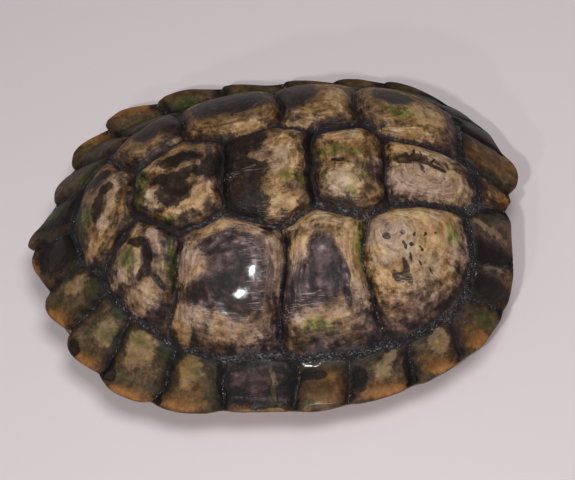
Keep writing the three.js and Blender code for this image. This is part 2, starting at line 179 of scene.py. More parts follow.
# The free edge of each rim shield between its two notches, neck side first
EDGES: dict[str, tuple[Place, ...]] = {
    "R1": ((98.6, 8.6, 28.6), (98.4, 15, 27.2), (98.2, 21.6, 26)),
    "R2": ((97.6, 31, 23.6), (96.2, 36.8, 22.2), (94.6, 41.4, 21)),
    "R3": ((90.8, 48.6, 19.6), (87.6, 52.8, 18.8), (82.6, 58.8, 18.2)),
    "R4": ((70.6, 67, 17.6), (65, 70, 17.4), (60, 72.4, 17.2)),
    "R5": ((49.4, 75.9, 17), (43.2, 77.7, 16.8), (35.4, 79.3, 16.7)),
    "R6": ((23.4, 80.8, 16.5), (17.8, 81.6, 16.5), (12.4, 81.6, 16.6)),
    "R7": ((0.8, 80.7, 16.8), (-6.4, 80.4, 17), (-14.6, 80, 17.3)),
    "R8": ((-27.6, 79.6, 17.4), (-36.4, 78.7, 17.5), (-42.8, 76.9, 17.7), (-46.6, 75, 18)),
    "R9": ((-53.6, 73, 18.4), (-59.4, 70.6, 18.3), (-65, 67.2, 18.4), (-68.6, 62.6, 18.8)),
    "R10": ((-73.6, 57, 19.1), (-78.8, 53, 19), (-82.2, 49, 19), (-83.3, 44.6, 19.4)),
    "R11": ((-84.6, 37.9, 20.2), (-89, 34, 19.6), (-92, 30.6, 19.4), (-93.3, 26.6, 19.6)),
    "R12": ((-93.8, 17.2, 20.8), (-96.6, 12.8, 20.2), (-99, 8.6, 19.9), (-100.1, 4.2, 20.2)),
}
LEFT_EDGES: dict[str, tuple[Place, ...]] = {
    "R1": ((101.2, 7.2, 28.8), (103, 10, 28.2), (103.9, 15.6, 27.2), (102.6, 21.6, 26.2)),
    "R2": ((97.6, 31.6, 23.8), (96.4, 35.8, 22.6), (94.4, 41.6, 21.2)),
    "R3": ((88.7, 50, 19.2), (85.6, 54.2, 18.8), (82, 58, 18.4)),
    "R4": ((74.3, 65.2, 17.6), (68.6, 70, 17.4), (62.4, 74, 17.3), (54.6, 77.2, 17.2)),
    "R5": ((46, 78.6, 16.9), (39.3, 80.6, 16.7), (32, 81, 16.7)),
    "R6": ((22, 81.4, 16.5), (15, 82.4, 16.5), (8.8, 82.6, 16.6)),
    "R7": ((0, 81, 16.8), (-7, 82, 16.9), (-13, 82.6, 17), (-18.9, 82.4, 17.3)),
    "R8": ((-27.6, 81.2, 17.4), (-35.4, 81.6, 17.5), (-42, 80, 17.6), (-47.8, 76.8, 18.1)),
    "R9": ((-56.4, 74, 18.4), (-64.6, 72.2, 18.3), (-68.6, 69, 18.4), (-71.6, 65, 18.8)),
    "R10": ((-77, 58, 19.2), (-82.2, 54.2, 19), (-85.2, 49.6, 19), (-85.6, 43.8, 19.4)),
    "R11": ((-87.4, 36.8, 19.9), (-90.6, 33, 19.5), (-92.2, 29, 19.4), (-92.2, 25.2, 19.7)),
    "R12": ((-93.8, 17.4, 20.6), (-98, 11.4, 20), (-101.2, 7.2, 19.9), (-102.2, 3, 20.2)),
}
# How far a seam bows towards the tail at its middle, and its swing forward near the end whose
# name comes first in the alphabet
BOWS: dict[tuple[str, str], tuple[float, float]] = {
    ("flank12", "zag1"): (4.5, 0.0), ("flank23", "zag2"): (-0.6, -1.8),
    ("flank34", "zag3"): (-1.3, 0.0), ("back45", "zig4"): (1.6, 0.0),
    ("back12", "zig1"): (1.0, 0.0), ("back23", "zig2"): (1.0, 0.0),
}


class ShieldRow(Enum):
    """The three rows of horny shields."""

    BACK = "back"
    FLANK = "flank"
    RIM = "rim"


@dataclass(frozen=True)
class Shield:
    """One horny shield.

    Attributes:
        name: Its name, such as C2.
        row: The row it is in.
        ring: The points round it; a name from EDGES stands for its free edge. Shields on the
            middle line list their right half.
        off: How far its growth centre sits from its middle: x, and away from the middle line.
        peak: How high it stands over its seams.
        shingle: How far its tail side stands over the next shield.
    """

    name: str
    row: ShieldRow
    ring: tuple[str, ...]
    off: tuple[float, float] = (0.0, 0.0)
    peak: float = 1.2
    shingle: float = 0.0


def back(name: str, ring: tuple[str, ...], off_x: float, peak: float) -> Shield:
    """A shield on the middle line."""
    return Shield(name, ShieldRow.BACK, ring, (off_x, 0.0), peak)


def flank(name: str, ring: tuple[str, ...], off: tuple[float, float], peak: float) -> Shield:
    """A shield of the flank row."""
    return Shield(name, ShieldRow.FLANK, ring, off, peak)


def rim(name: str, ring: tuple[str, ...], peak: float, shingle: float) -> Shield:
    """A shield of the rim."""
    return Shield(name, ShieldRow.RIM, ring, (0.0, 0.0), peak, shingle)


BACK_SHIELDS = (
    back("N", ("neckEdge", "out01", "neckCorner", "neckBack"), -1, 0.8),
    back("V1", ("neckBack", "neckCorner", "shoulder", "zig1", "back12"), -2, 3),
    back("V2", ("back12", "zig1", "zag1", "zig2", "back23"), -2, 3.2),
    back("V3", ("back23", "zig2", "zag2", "zig3", "back34"), -4, 3.6),
    back("V4", ("back34", "zig3", "zag3", "zig4", "back45"), -3, 4.2),
    back("V5", ("back45", "zig4", "hip", "in1112", "backTail"), 3, 4.6),
)
FLANK_SHIELDS = (
    flank("C1", ("shoulder", "zig1", "zag1", "flank12", "in45", "in34", "in23", "in12"),
          (-2, -2), 4.4),
    flank("C2", ("zag1", "zig2", "zag2", "flank23", "in67", "in56", "flank12"), (-1, -3), 4.6),
    flank("C3", ("zag2", "zig3", "zag3", "flank34", "in89", "in78", "flank23"), (-2, -3), 4.6),
    flank("C4", ("zag3", "zig4", "hip", "in1011", "in910", "flank34"), (-1, -2), 4.8),
)
RIM_SHIELDS = (
    rim("R1", ("neckCorner", "shoulder", "in12", "out12", "R1", "out01"), 1.2, 0.0),
    rim("R2", ("in12", "in23", "out23", "R2", "out12"), 1.2, 0.2),
    rim("R3", ("in23", "in34", "out34", "R3", "out23"), 1.2, 0.3),
    rim("R4", ("in34", "in45", "out45", "R4", "out34"), 1.3, 0.4),
    rim("R5", ("in45", "flank12", "in56", "out56", "R5", "out45"), 1.4, 0.4),
    rim("R6", ("in56", "in67", "out67", "R6", "out56"), 1.4, 0.5),
    rim("R7", ("in67", "flank23", "in78", "out78", "R7", "out67"), 1.5, 0.7),
    rim("R8", ("in78", "in89", "out89", "R8", "out78"), 1.8, 1.1),
    rim("R9", ("in89", "flank34", "in910", "out910", "R9", "out89"), 1.9, 1.5),
    rim("R10", ("in910", "in1011", "out1011", "R10", "out910"), 1.9, 1.6),
    rim("R11", ("in1011", "hip", "in1112", "out1112", "R11", "out1011"), 1.9, 1.6),
    rim("R12", ("in1112", "backTail", "tailEdge", "R12", "out1112"), 1.6, 1.2),
)

# Half the width of the dark skin in the seams that open wide, by the points at their ends
WIDE_SEAMS: dict[frozenset[str], float] = {
    frozenset(("neckBack", "neckCorner")): 1.6,
    frozenset(("neckCorner", "shoulder")): 1.6,
    frozenset(("shoulder", "zig1")): 1.3,
    frozenset(("zig1", "zag1")): 1.3,
    frozenset(("zag1", "zig2")): 1.3,
}
# The same by the beginnings of the names at both ends: along the rim, then along the back
SEAM_ROWS: tuple[tuple[tuple[str, ...], float], ...] = (
    (("in", "flank", "shoulder", "hip", "backTail"), 0.85),
    (("zig", "zag", "hip"), 0.7),
)
OTHER_SEAMS = 0.25


def seam_width(start: str, end: str) -> float:
    """Half the width of the dark skin that shows in the seam between two named points.

    Args:
        start: Name of the point at one end.
        end: Name of the point at the other.

    Returns:
        The half-width, in millimetres.
    """
    wide = WIDE_SEAMS.get(frozenset((start, end)))
    if wide is not None:
        return wide
    for names, width in SEAM_ROWS:
        if start.startswith(names) and end.startswith(names):
            return width
    return OTHER_SEAMS


def point_at(name: str, side: Side) -> np.ndarray:
    """The place of a named point on one side of the shell."""
    x, y, z = LEFT_POINTS.get(name, POINTS[name]) if side is Side.LEFT else POINTS[name]
    return np.array([x, y * side.value, z], float)


def edge_at(name: str, side: Side) -> np.ndarray:
    """The points of a rim shield's free edge on one side of the shell, neck side first."""
    table = LEFT_EDGES if side is Side.LEFT else EDGES
    return np.array([(x, y * side.value, z) for x, y, z in table[name]], float)


def smooth_through(points: np.ndarray, step: float) -> np.ndarray:
    """A smooth curve through points.

    Args:
        points: The points, at least two.
        step: Spacing of the curve's points.

    Returns:
        The curve's points, with both ends.
    """
    first = 2 * points[0] - points[1]
    last = 2 * points[-1] - points[-2]
    knots = np.vstack([first, points, last])
    out = [points[:1]]
    for i in range(1, len(knots) - 2):
        p0, p1, p2, p3 = knots[i - 1 : i + 3]
        count = max(1, round(float(np.linalg.norm(p2 - p1)) / step))
        u = (np.arange(1, count + 1) / count)[:, None]
        bend = p1 * 2 + (p2 - p0) * u + (2 * p0 - 5 * p1 + 4 * p2 - p3) * u**2
        out.append((bend + (3 * p1 - p0 - 3 * p2 + p3) * u**3) / 2)
    return np.vstack(out)


@dataclass
class SeamNet:
    """The lines between the shields, each made once so that neighbours share its points."""

    step: float = 1.15
    wander: float = 0.5  # how far a grown seam strays from a straight line
    straight: float = 16.0  # a seam shorter than this strays less
    sideways: float = 0.7  # its straying across the shell, as a share of that along it
    waves: tuple[tuple[float, float], ...] = ((2.0, 1.0), (5.0, 0.45))  # half-turns and share

    def seam(self, start: str, end: str, side: Side) -> np.ndarray:
        """The seam from one named point to another.

        Args:
            start: Name of the point it begins at.
            end: Name of the point it ends at.
            side: Half of the shell.

        Returns:
            Its points, with both ends.
        """
        first, second = sorted((start, end))
        a, b = point_at(first, side), point_at(second, side)
        count = max(2, round(float(np.linalg.norm(b - a)) / self.step))
        u = np.linspace(0, 1, count + 1)[:, None]
        line = a * (1 - u) + b * u
        bow, swing = BOWS.get((first, second), (0.0, 0.0))
        phase = sum(map(ord, first + second)) + side.value
        arch = np.sin(math.pi * u[:, 0])
        line[:, 0] += swing * np.sin(2 * math.pi * u[:, 0]) - bow * arch
        reach = min(1.0, count * self.step / self.straight)
        on_middle = abs(a[1]) < 0.1 and abs(b[1]) < 0.1
        for turns, share in self.waves:
            wave = np.sin(u[:, 0] * turns * math.pi + phase * turns) * arch
            wave *= self.wander * share * reach
            line[:, 0] += wave
            if not on_middle:
                line[:, 1] += wave * side.value * self.sideways
        chord = DOME.height(a[0], a[1]) * (1 - u[:, 0]) + DOME.height(b[0], b[1]) * u[:, 0]
        line[:, 2] += DOME.height(line[:, 0], line[:, 1]) - chord
        return line if start == first else line[::-1]

    def free_edge(self, name: str, start: str, end: str, side: Side) -> np.ndarray:
        """A rim shield's free edge between its notches, neck side first.

        Args:
            name: The shield's name.
            start: Notch at its neck side.
            end: Notch at its tail side.
            side: Half of the shell.

        Returns:
            Its points, with both ends.
        """
        ends = point_at(start, side), point_at(end, side)
        return smooth_through(np.vstack([ends[0], edge_at(name, side), ends[1]]), self.step)

    def outline(self, ring: Sequence[str], side: Side,
                closed: bool) -> tuple[np.ndarray, np.ndarray]:
        """The outline of a shield or of the right half of one.

        Args:
            ring: The names round it.
            side: Half of the shell.
            closed: Whether the last point joins the first.

        Returns:
            The points, and for each the number of its stretch: 1 and up along the seams, and
            minus that along the shell's free edge.
        """
        parts: list[np.ndarray] = []
        stretch: list[np.ndarray] = []
        count = len(ring) if closed else len(ring) - 1
        for i in range(count):
            here, after = ring[i], ring[(i + 1) % len(ring)]
            if here in EDGES:
                continue
            if after in EDGES:
                ahead = ring[(i + 2) % len(ring)]
                line = self.free_edge(after, ahead, here, side)[::-1]
            else:
                line = self.seam(here, after, side)
            parts.append(line[:-1])
            on_edge = after in EDGES or {here, after} == {"neckEdge", "out01"}
            stretch.append(np.full(len(line) - 1, -(i + 1) if on_edge else i + 1))
        if not closed:
            parts.append(point_at(ring[-1], side)[None])
            stretch.append(np.array([count]))
        return np.vstack(parts), np.concatenate(stretch)

    def full_outline(self, ring: Sequence[str]) -> tuple[np.ndarray, np.ndarray]:
        """The outline of a shield on the middle line.

        Args:
            ring: The names round its right half.

        Returns:
            The points and the numbers of their stretches, as outline gives them; the numbers
            of the left half follow on those of the right.
        """
        right, right_stretch = self.outline(ring, Side.RIGHT, False)
        left, left_stretch = self.outline(ring, Side.LEFT, False)
        points = np.vstack([right, left[::-1][1:-1]])
        other = left_stretch + np.sign(left_stretch) * len(ring)
        return points, np.concatenate([right_stretch, other[::-1][1:-1]])

    def rim_loop(self) -> np.ndarray:
        """The free edge of the whole shell.

        Returns:
            Its points, anticlockwise from the neck, without the last that joins the first.
        """
        halves = []
        for side in (Side.LEFT, Side.RIGHT):
            line = [self.seam("neckEdge", "out01", side)]
            for i in range(1, 13):
                start = f"out{i - 1}{i}"
                end = "tailEdge" if i == 12 else f"out{i}{i + 1}"
                line.append(self.free_edge(f"R{i}", start, end, side)[1:])
            halves.append(np.vstack(line))
        left, right = halves
        return np.vstack([left, right[::-1][1:-1]])


class Layer(Enum):
    """Which of a piece's two finishes a face has; the value is the material's index."""

    HORN = 0
    BONE = 1


# Fields that measure a gap; where points merge, the smallest gap is kept
GAP_FIELDS = ("seam", "free")
FAR = 60.0  # stands for a gap that is too wide to matter


@dataclass
class SkinMesh:
    """Points, faces and per-point fields that grow into one Blender mesh."""

    weld: float = 0.02  # points closer than this merge
    points: list[np.ndarray] = field(default_factory=list)
    faces: list[np.ndarray] = field(default_factory=list)
    finishes: list[np.ndarray] = field(default_factory=list)
    fields: dict[str, list[np.ndarray]] = field(default_factory=dict)
    count: int = 0

    def add_grid(self, grid: np.ndarray, fields: dict[str, np.ndarray], layer: Layer,
                 closed: bool) -> None:
        """Adds a grid of points whose columns may close on themselves.

        Args:
            grid: Points, rows by columns by three; rows run from the outside in.
            fields: Values for each point, rows by columns.
            layer: The finish of the faces.
            closed: Whether the last column joins the first.
        """
        rows, columns = grid.shape[:2]
        index = np.arange(rows * columns).reshape(rows, columns) + self.count
        ahead = np.roll(index, -1, axis=1) if closed else index[:, 1:]
        here = index if closed else index[:, :-1]
        quads = np.stack([here[:-1], ahead[:-1], ahead[1:], here[1:]], axis=-1).reshape(-1, 4)
        self.faces.append(quads)
        self.finishes.append(np.full(len(quads), layer.value))
        self.points.append(grid.reshape(-1, 3))
        for name, values in fields.items():
            self.fields.setdefault(name, []).append(values.reshape(-1))
        self.count += rows * columns

    def build(self, name: str, finishes: Iterable[bpy.types.Material]) -> bpy.types.Object:
        """Makes the Blender object, with points at one place merged.

        Args:
            name: Name of the object.
            finishes: Its materials, in the order of their indices.

        Returns:
            The object, in the scene.
        """
        points = np.vstack(self.points)
        key = np.round(points / self.weld).astype(np.int64)
        _, first, inverse = np.unique(key, axis=0, return_index=True, return_inverse=True)
        inverse = inverse.reshape(-1)
        cleaned, kept = [], []
        for i, quad in enumerate(inverse[np.vstack(self.faces)].tolist()):
            corners = [p for k, p in enumerate(quad) if p != quad[k - 1]]
            if len(set(corners)) == len(corners) and len(corners) > 2:
                cleaned.append(corners)
                kept.append(i)
        mesh = bpy.data.meshes.new(name)
        mesh.from_pydata(((points[first] + (SHIFT_X, 0, 0)) * MM).tolist(), [], cleaned)
        layers = np.concatenate(self.finishes)[kept].astype(np.int32)
        mesh.polygons.foreach_set("material_index", layers)
        mesh.polygons.foreach_set("use_smooth", np.ones(len(cleaned), bool))
        for label, parts in self.fields.items():
            values = np.concatenate(parts)
            merged = values[first]
            if label in GAP_FIELDS:
                np.minimum.at(merged, inverse, values)
            layer = mesh.attributes.new(label, "FLOAT", "POINT")
            layer.data.foreach_set("value", merged.astype(np.float32))
        mesh.update()
        for finish in finishes:
            mesh.materials.append(finish)
        piece = bpy.data.objects.new(name, mesh)
        bpy.context.scene.collection.objects.link(piece)
        return piece


# Shields whose growth rings still show round the oldest point; the others are worn smooth there
RINGED = ("V1", "C1")

# The marks on each shield, as rows of u, v, half-length, half-width and turn in degrees; a
# half-width below zero cuts its oval out of the others. A name without L or R is on the middle
# line. Shields that aren't listed get the marks of their row.
Ovals = tuple[tuple[float, ...], ...]
MARKS: dict[str, dict[Stain, Ovals]] = {
    "N": {Stain.RUST: ((0, 0, .9, .9, 0),)},
    "V1": {
        Stain.DARK: ((-.42, -.22, .36, .15, -4), (0, -.14, .3, .07, 6), (.25, -.08, .1, .07, 0),
                     (-.4, -.4, .04, .14, 20), (-.55, -.3, .04, .12, 0), (-.22, -.36, .03, .1, -10),
                     (-.66, -.12, .1, .07, 0), (.07, -.28, .03, .12, 10), (-.2, .04, .04, .12, -15),
                     (-.38, .02, .03, .1, 0), (.22, .15, .03, .03, 0)),
        Stain.PALE: ((-.3, .3, .8, .6, 0), (.2, .3, .8, .5, 0), (-.1, -.7, .9, .4, 0)),
        Stain.PLUM: ((0, .6, 1.0, .5, 0), (.85, 0, .2, .8, 0), (.1, .85, .6, .12, 0)),
        Stain.SCRATCH: ((-.2, .4, .5, .3, 0),),
    },
    "V2": {
        Stain.DARK: ((-.28, -.01, .24, .04, 0), (-.5, -.03, .08, .03, 0), (.97, 0, .1, 1, 0)),
        Stain.ALGAE: ((-.5, -.24, .45, .1, 0), (.1, -.22, .3, .08, 0), (-.72, .25, .1, .1, 0),
                      (0, .58, .1, .12, 0), (.35, .3, .14, .07, 0)),
        Stain.RUST: ((.35, .7, .25, .14, 0), (-.4, -.6, .4, .12, 0)),
        Stain.PALE: ((-.2, .4, .5, .3, 0), (-.2, -.6, .6, .2, 0)),
        Stain.SCRATCH: ((-.48, .1, .36, .06, 0),),
    },
    "V3": {
        Stain.DARK: ((-.66, .1, .6, .6, 0), (-.38, .62, .36, .26, 20), (-.52, -.6, .46, .36, 0),
                     (-.15, -.2, .3, -.1, 0), (.9, 0, .14, .9, 0)),
        Stain.PALE: ((.3, 0, .3, .5, 0), (.15, .7, .4, .12, 0)),
        Stain.RUST: ((.3, -.5, .28, .2, 0), (.6, .5, .12, .14, 0)),
        Stain.ALGAE: ((.4, .25, .16, .1, 0), (.67, .27, .1, .14, 0)),
        Stain.SCRATCH: ((-.33, .05, .34, .05, 0), (-.78, .08, .2, .08, 0), (.2, .75, .4, .16, 0)),
    },
    "V4": {
        Stain.DARK: ((0, -.36, .56, .14, 0), (-.15, .02, .56, .13, 4), (.45, -.04, .4, .1, 0),
                     (-.08, .32, .42, .24, 0), (.76, -.14, .24, .26, 0)),
        Stain.PALE: ((-.55, -.36, .3, .16, 20), (-.52, .34, .22, .2, 0), (.52, .4, .3, .14, -35),
                     (.1, .62, .5, .12, 0)),
        Stain.ALGAE: ((-.28, .76, .2, .1, 0), (-.85, 0, .12, .5, 0)),
        Stain.RUST: ((.05, -.6, .6, .16, 0), (.4, .5, .5, .3, 0)),
        Stain.PLUM: ((.6, .35, .3, .3, 0),),
    },
    "V5": {
        Stain.DARK: ((-.1, .04, .2, .24, 0), (.12, -.2, .22, .1, 0), (-.1, -.5, .4, .12, 0),
                     (.7, .66, .3, .16, 0)),
        Stain.PALE: ((.34, -.1, .16, .3, 0), (.1, .34, .22, .16, -20), (-.25, .6, .3, .12, 0)),
        Stain.ALGAE: ((-.7, .2, .22, .4, 0), (-.36, .1, .1, .24, 0)),
        Stain.RUST: ((.1, -.75, .6, .14, 0), (-.3, .7, .4, .2, 0)),
    },
    "C1R": {
        Stain.DARK: ((-.46, .27, .2, .07, 14), (-.36, .16, .07, .1, 0), (-.3, .32, .1, .04, 30),
                     (-.62, -.25, .08, .05, 0), (-.33, -.27, .05, .03, 0), (-.3, -.1, .03, .06, 0),
                     (.1, -.36, .03, .035, 0), (.26, -.4, .03, .03, 0), (-.16, -.13, .05, .035, 0),
                     (-.22, .04, .03, .06, 0), (.02, -.12, .03, .04, 0), (-.05, .1, .03, .035, 0),
                     (.12, .12, .03, .035, 0), (-.1, -.27, .03, .035, 0)),
        Stain.PALE: ((-.4, -.3, .8, .8, 0), (.2, -.4, .7, .6, 0)),
        Stain.PLUM: ((.2, .78, 1.0, .4, 0), (.85, .2, .34, .9, 0), (-.5, -.3, .2, .2, 0)),
        Stain.ALGAE: ((.62, -.42, .14, .16, 0),),
        Stain.RUST: ((-.4, -.8, .6, .16, 0),),
        Stain.SCRATCH: ((-.45, -.55, .4, .12, 0), (-.6, .35, .3, .16, 0)),
    },
    "C2R": {
        Stain.DARK: ((-.05, 0, .3, .5, 4), (-.4, .27, .38, .3, 0), (-.78, .45, .12, .14, 0),
                     (.3, .2, .08, .4, -12), (-.95, 0, .1, .9, 0)),
        Stain.PALE: ((-.1, -.85, .9, .3, 0), (-.5, -.25, .22, .18, 0), (.5, -.1, .25, .6, -14),
                     (-.3, .6, .62, .12, 0)),
        Stain.ALGAE: ((-.32, .73, .32, .08, 0), (.68, -.3, .14, .45, 0)),
        Stain.PLUM: ((-.1, .25, 1.0, .7, 0), (.7, .6, .32, .3, 0)),
        Stain.RUST: ((-.5, -.4, .26, .2, 0), (.5, -.3, .2, .5, 0)),
        Stain.SCRATCH: ((-.3, .5, .7, .16, 0),),
        Stain.WET: ((0, .97, .9, .06, 0),),
    },
    "C3R": {
        Stain.DARK: ((.3, .02, .46, .66, 0), (.05, -.45, .3, .2, 0), (-.22, .2, .42, .2, 0),
                     (.32, .4, .2, .2, 0)),
        Stain.PALE: ((-.1, -.85, .8, .25, 0), (-.5, -.2, .3, .32, 0), (.5, -.62, .26, .1, 0),
                     (.95, -.2, .1, .7, 0), (-.05, .62, .66, .14, 22), (-.7, .5, .14, .3, 0)),
        Stain.PLUM: ((.3, .1, 1.0, .95, 0), (.28, .4, .2, -.2, 0), (-.4, .2, .24, -.14, 0)),
        Stain.RUST: ((-.1, -.7, .4, .16, 0),),
        Stain.WET: ((.26, .1, .4, .5, 0), (.6, .97, .7, .06, 0)),
        Stain.SCRATCH: ((.58, .05, .16, .62, 0), (-.1, .5, .5, .1, 20)),
    },
    "C4R": {
        Stain.DARK: ((-.02, -.42, .26, .09, 24), (.17, -.14, .13, .26, 0), (.12, .14, .2, .09, 0),
                     (.42, .3, .16, .08, 30)),
        Stain.ALGAE: ((-.32, -.2, .2, .2, 0), (.72, 0, .1, .5, 0)),
        Stain.PALE: ((.35, -.4, .14, .34, 0), (-.5, .05, .22, .1, 0), (-.08, -.15, .08, .26, 0),
                     (0, .42, .45, .2, 0)),
        Stain.PLUM: ((.05, .5, .6, .36, 0), (.4, -.3, .2, .3, 0)),
        Stain.SCRATCH: ((.1, .45, .3, .1, 40),),
    },
    "C1L": {Stain.DARK: ((-.35, .15, .42, .26, 0), (.9, .3, .16, .6, 0)),
            Stain.RUST: ((.1, 0, 1.0, .9, 0),),
            Stain.PALE: ((.3, -.3, .4, .34, 0), (-.2, -.8, .6, .12, 0)),
            Stain.ALGAE: ((-.2, -.35, .3, .16, 0),)},
    "C2L": {Stain.DARK: ((-.42, .1, .44, .5, 0),), Stain.RUST: ((.3, 0, .9, .9, 0),),
            Stain.PALE: ((.48, -.1, .28, .4, 0), (-.35, -.8, .45, .1, 0))},
    "C3L": {Stain.DARK: ((.1, .05, .72, .5, 0),),
            Stain.RUST: ((-.4, -.2, .8, .8, 0), (.85, 0, .3, .8, 0)),
            Stain.PALE: ((.45, -.75, .35, .12, 0),)},
    "C4L": {Stain.DARK: ((.1, 0, .4, .32, 0), (.6, .1, .3, .4, 0)),
            Stain.RUST: ((-.2, .1, .75, .75, 0),)},
    "R12R": {Stain.DARK: ((.1, -.25, .9, .8, 0),), Stain.RUST: ((-.9, .3, .3, .8, 0),),
             Stain.WET: ((0, -.2, .3, .5, 0),)},
    "R11R": {Stain.ALGAE: ((.6, .1, .3, .5, 0),), Stain.RUST: ((-.8, .6, .6, .5, 0),),
             Stain.DARK: ((-.75, -.6, .3, .2, 0),), Stain.PALE: ((.1, -.2, .4, .3, 0),)},
    "R10R": {Stain.ALGAE: ((.7, -.5, .3, .4, 0),), Stain.RUST: ((-.7, .75, .7, .5, 0),),
             Stain.DARK: ((-.8, .1, .16, .3, 0),), Stain.PALE: ((.2, 0, .4, .3, 0),)},
    "R9R": {Stain.ALGAE: ((.75, -.2, .2, .6, 0),), Stain.RUST: ((-.5, .85, .8, .4, 0),),
            Stain.DARK: ((-.75, .05, .18, .36, 0),), Stain.PALE: ((.1, -.2, .4, .4, 0),)},
    "R8R": {Stain.PALE: ((.1, -.3, .3, .5, 20),),
            Stain.RUST: ((-.1, .5, .7, .5, 0), (0, -.4, .4, .3, 0)),
            Stain.DARK: ((-.85, .2, .14, .5, 0), (.9, 0, .14, .8, 0)),
            Stain.WET: ((.7, -.9, .6, .2, 0),)},
    "R7R": {Stain.DARK: ((.1, -.05, 1.2, .85, 0), (.33, .1, .07, -.7, 0)),
            Stain.PLUM: ((0, -.1, 1.1, .8, 0),),
            Stain.PALE: ((0, .97, .8, .1, 0), (-.1, -.2, .6, .4, 0)),
            Stain.WET: ((.2, -.92, .9, .14, 0), (-.8, 0, .16, .7, 0))},
    "R6R": {Stain.RUST: ((.2, 0, .8, .7, 0),), Stain.ALGAE: ((-.5, .7, .4, .2, 0),),
            Stain.DARK: ((-.3, -.4, .5, .2, 0),),
            Stain.WET: ((.2, .85, .8, .14, 0), (0, -.8, .7, .26, 0))},
    "R5R": {Stain.DARK: ((.9, -.2, .16, .6, 0), (-.6, .2, .24, .34, 0)),
            Stain.RUST: ((.2, .6, .8, .4, 0),),
            Stain.PALE: ((.2, -.2, .2, .6, 30),), Stain.WET: ((-.2, -.9, 1.0, .2, 0),)},
    "R4R": {Stain.RUST: ((0, .4, .7, .3, 0),), Stain.PALE: ((.1, -.3, .4, .4, 0),),
            Stain.ALGAE: ((0, .8, .7, .2, 0),)},
    "R3R": {Stain.RUST: ((0, .3, .6, .4, 0),), Stain.ALGAE: ((.4, -.3, .4, .4, 0),)},
    "R2R": {Stain.DARK: ((-.1, .35, .9, .45, 0),), Stain.PALE: ((0, -.6, .6, .3, 0),),
            Stain.PLUM: ((0, -.5, .9, .5, 0),),
            Stain.WET: ((0, .3, .6, .4, 0),)},
    "R1R": {Stain.DARK: ((0, .6, 1.1, .36, 0), (0, -.75, .9, .2, 0)),
            Stain.PALE: ((0, -.05, .7, .12, 10),), Stain.PLUM: ((0, -.1, .9, .5, 0),)},
    "R1L": {Stain.RUST: ((0, .1, .8, .7, 0),)},
    "R2L": {Stain.DARK: ((0, 0, 1, 1, 0),), Stain.ALGAE: ((.2, .3, .5, .4, 0),)},
    "R3L": {Stain.DARK: ((0, 0, 1, 1, 0),), Stain.ALGAE: ((.2, .3, .5, .4, 0),)},
    "R9L": {Stain.RUST: ((-.5, .8, .6, .3, 0),), Stain.PLUM: ((.2, 0, .5, .3, 0),)},
    "R10L": {Stain.RUST: ((-.4, .7, .7, .34, 0),), Stain.PLUM: ((.2, 0, .5, .3, 0),)},
    "R11L": {Stain.PLUM: ((.1, .2, .6, .5, 0),), Stain.ALGAE: ((.3, -.4, .5, .3, 0),)},
    "R12L": {Stain.DARK: ((.2, 0, .9, .7, 0),), Stain.ALGAE: ((-.3, .4, .6, .4, 0),)},
}
ROW_MARKS: dict[ShieldRow, dict[Stain, Ovals]] = {
    ShieldRow.BACK: {Stain.DARK: ((0, 0, .4, .2, 0),)},
    ShieldRow.FLANK: {Stain.DARK: ((0, 0, .4, .4, 0),)},
    ShieldRow.RIM: {Stain.DARK: ((.2, -.3, .9, .6, 0),), Stain.ALGAE: ((-.3, .2, .5, .4, 0),)},
}

# Ripples that keep a mark from being a plain oval: height, turns and shift, along and across
U_RIPPLES = ((0.03, 9, 1), (0.015, 21, 2))
V_RIPPLES = ((0.03, 8, 1), (0.015, 23, 3))


def stain_fields(name: str, row: ShieldRow, u: np.ndarray, v: np.ndarray) -> dict[str, np.ndarray]:
    """How strongly each stain lies on the points of a shield.

    Args:
        name: The shield's name with its side.
        row: Its row.
        u: Places along it, -1 to 1.
        v: Places across it, -1 to 1.

    Returns:
        One field for each stain: 1 at a mark's middle, 0.5 at its border, 0 well outside.
    """
    marks = MARKS.get(name, ROW_MARKS[row])
    phase = float(sum(map(ord, name)))
    for height, turns, shift in U_RIPPLES:
        u = u + height * np.sin(turns * v + shift * phase)
    for height, turns, shift in V_RIPPLES:
        v = v + height * np.sin(turns * u + shift * phase)
    fields = {}
    for stain in Stain:
        value = np.zeros(u.shape)
        for mark in marks.get(stain, ()):
            value = marked(value, mark, u, v)
        fields[stain.value] = value
    return fields


def steepened(field_values: np.ndarray) -> np.ndarray:
    """A stain's field with a steeper border: 0 up to a quarter, 1 from three quarters."""
    return np.clip(field_values * 2 - 0.5, 0, 1)


def marked(value: np.ndarray, mark: Sequence[float], u: np.ndarray, v: np.ndarray) -> np.ndarray:
    """Adds one oval mark to a stain's field, or cuts it out where its width is below zero.

    Args:
        value: The field so far.
        mark: The oval, as a row of MARKS.
        u: Places along the shield.
        v: Places across it.

    Returns:
        The field with the mark.
    """
    mark_u, mark_v, long, wide, turn = mark
    c, s = math.cos(math.radians(turn)), math.sin(math.radians(turn))
    along = ((u - mark_u) * c + (v - mark_v) * s) / long
    over = ((v - mark_v) * c - (u - mark_u) * s) / wide
    oval = 1 - 0.5 * (along**2 + over**2)
    if wide > 0:
        return np.maximum(value, oval)
    return np.minimum(value, np.clip(1 - oval, 0, 1))


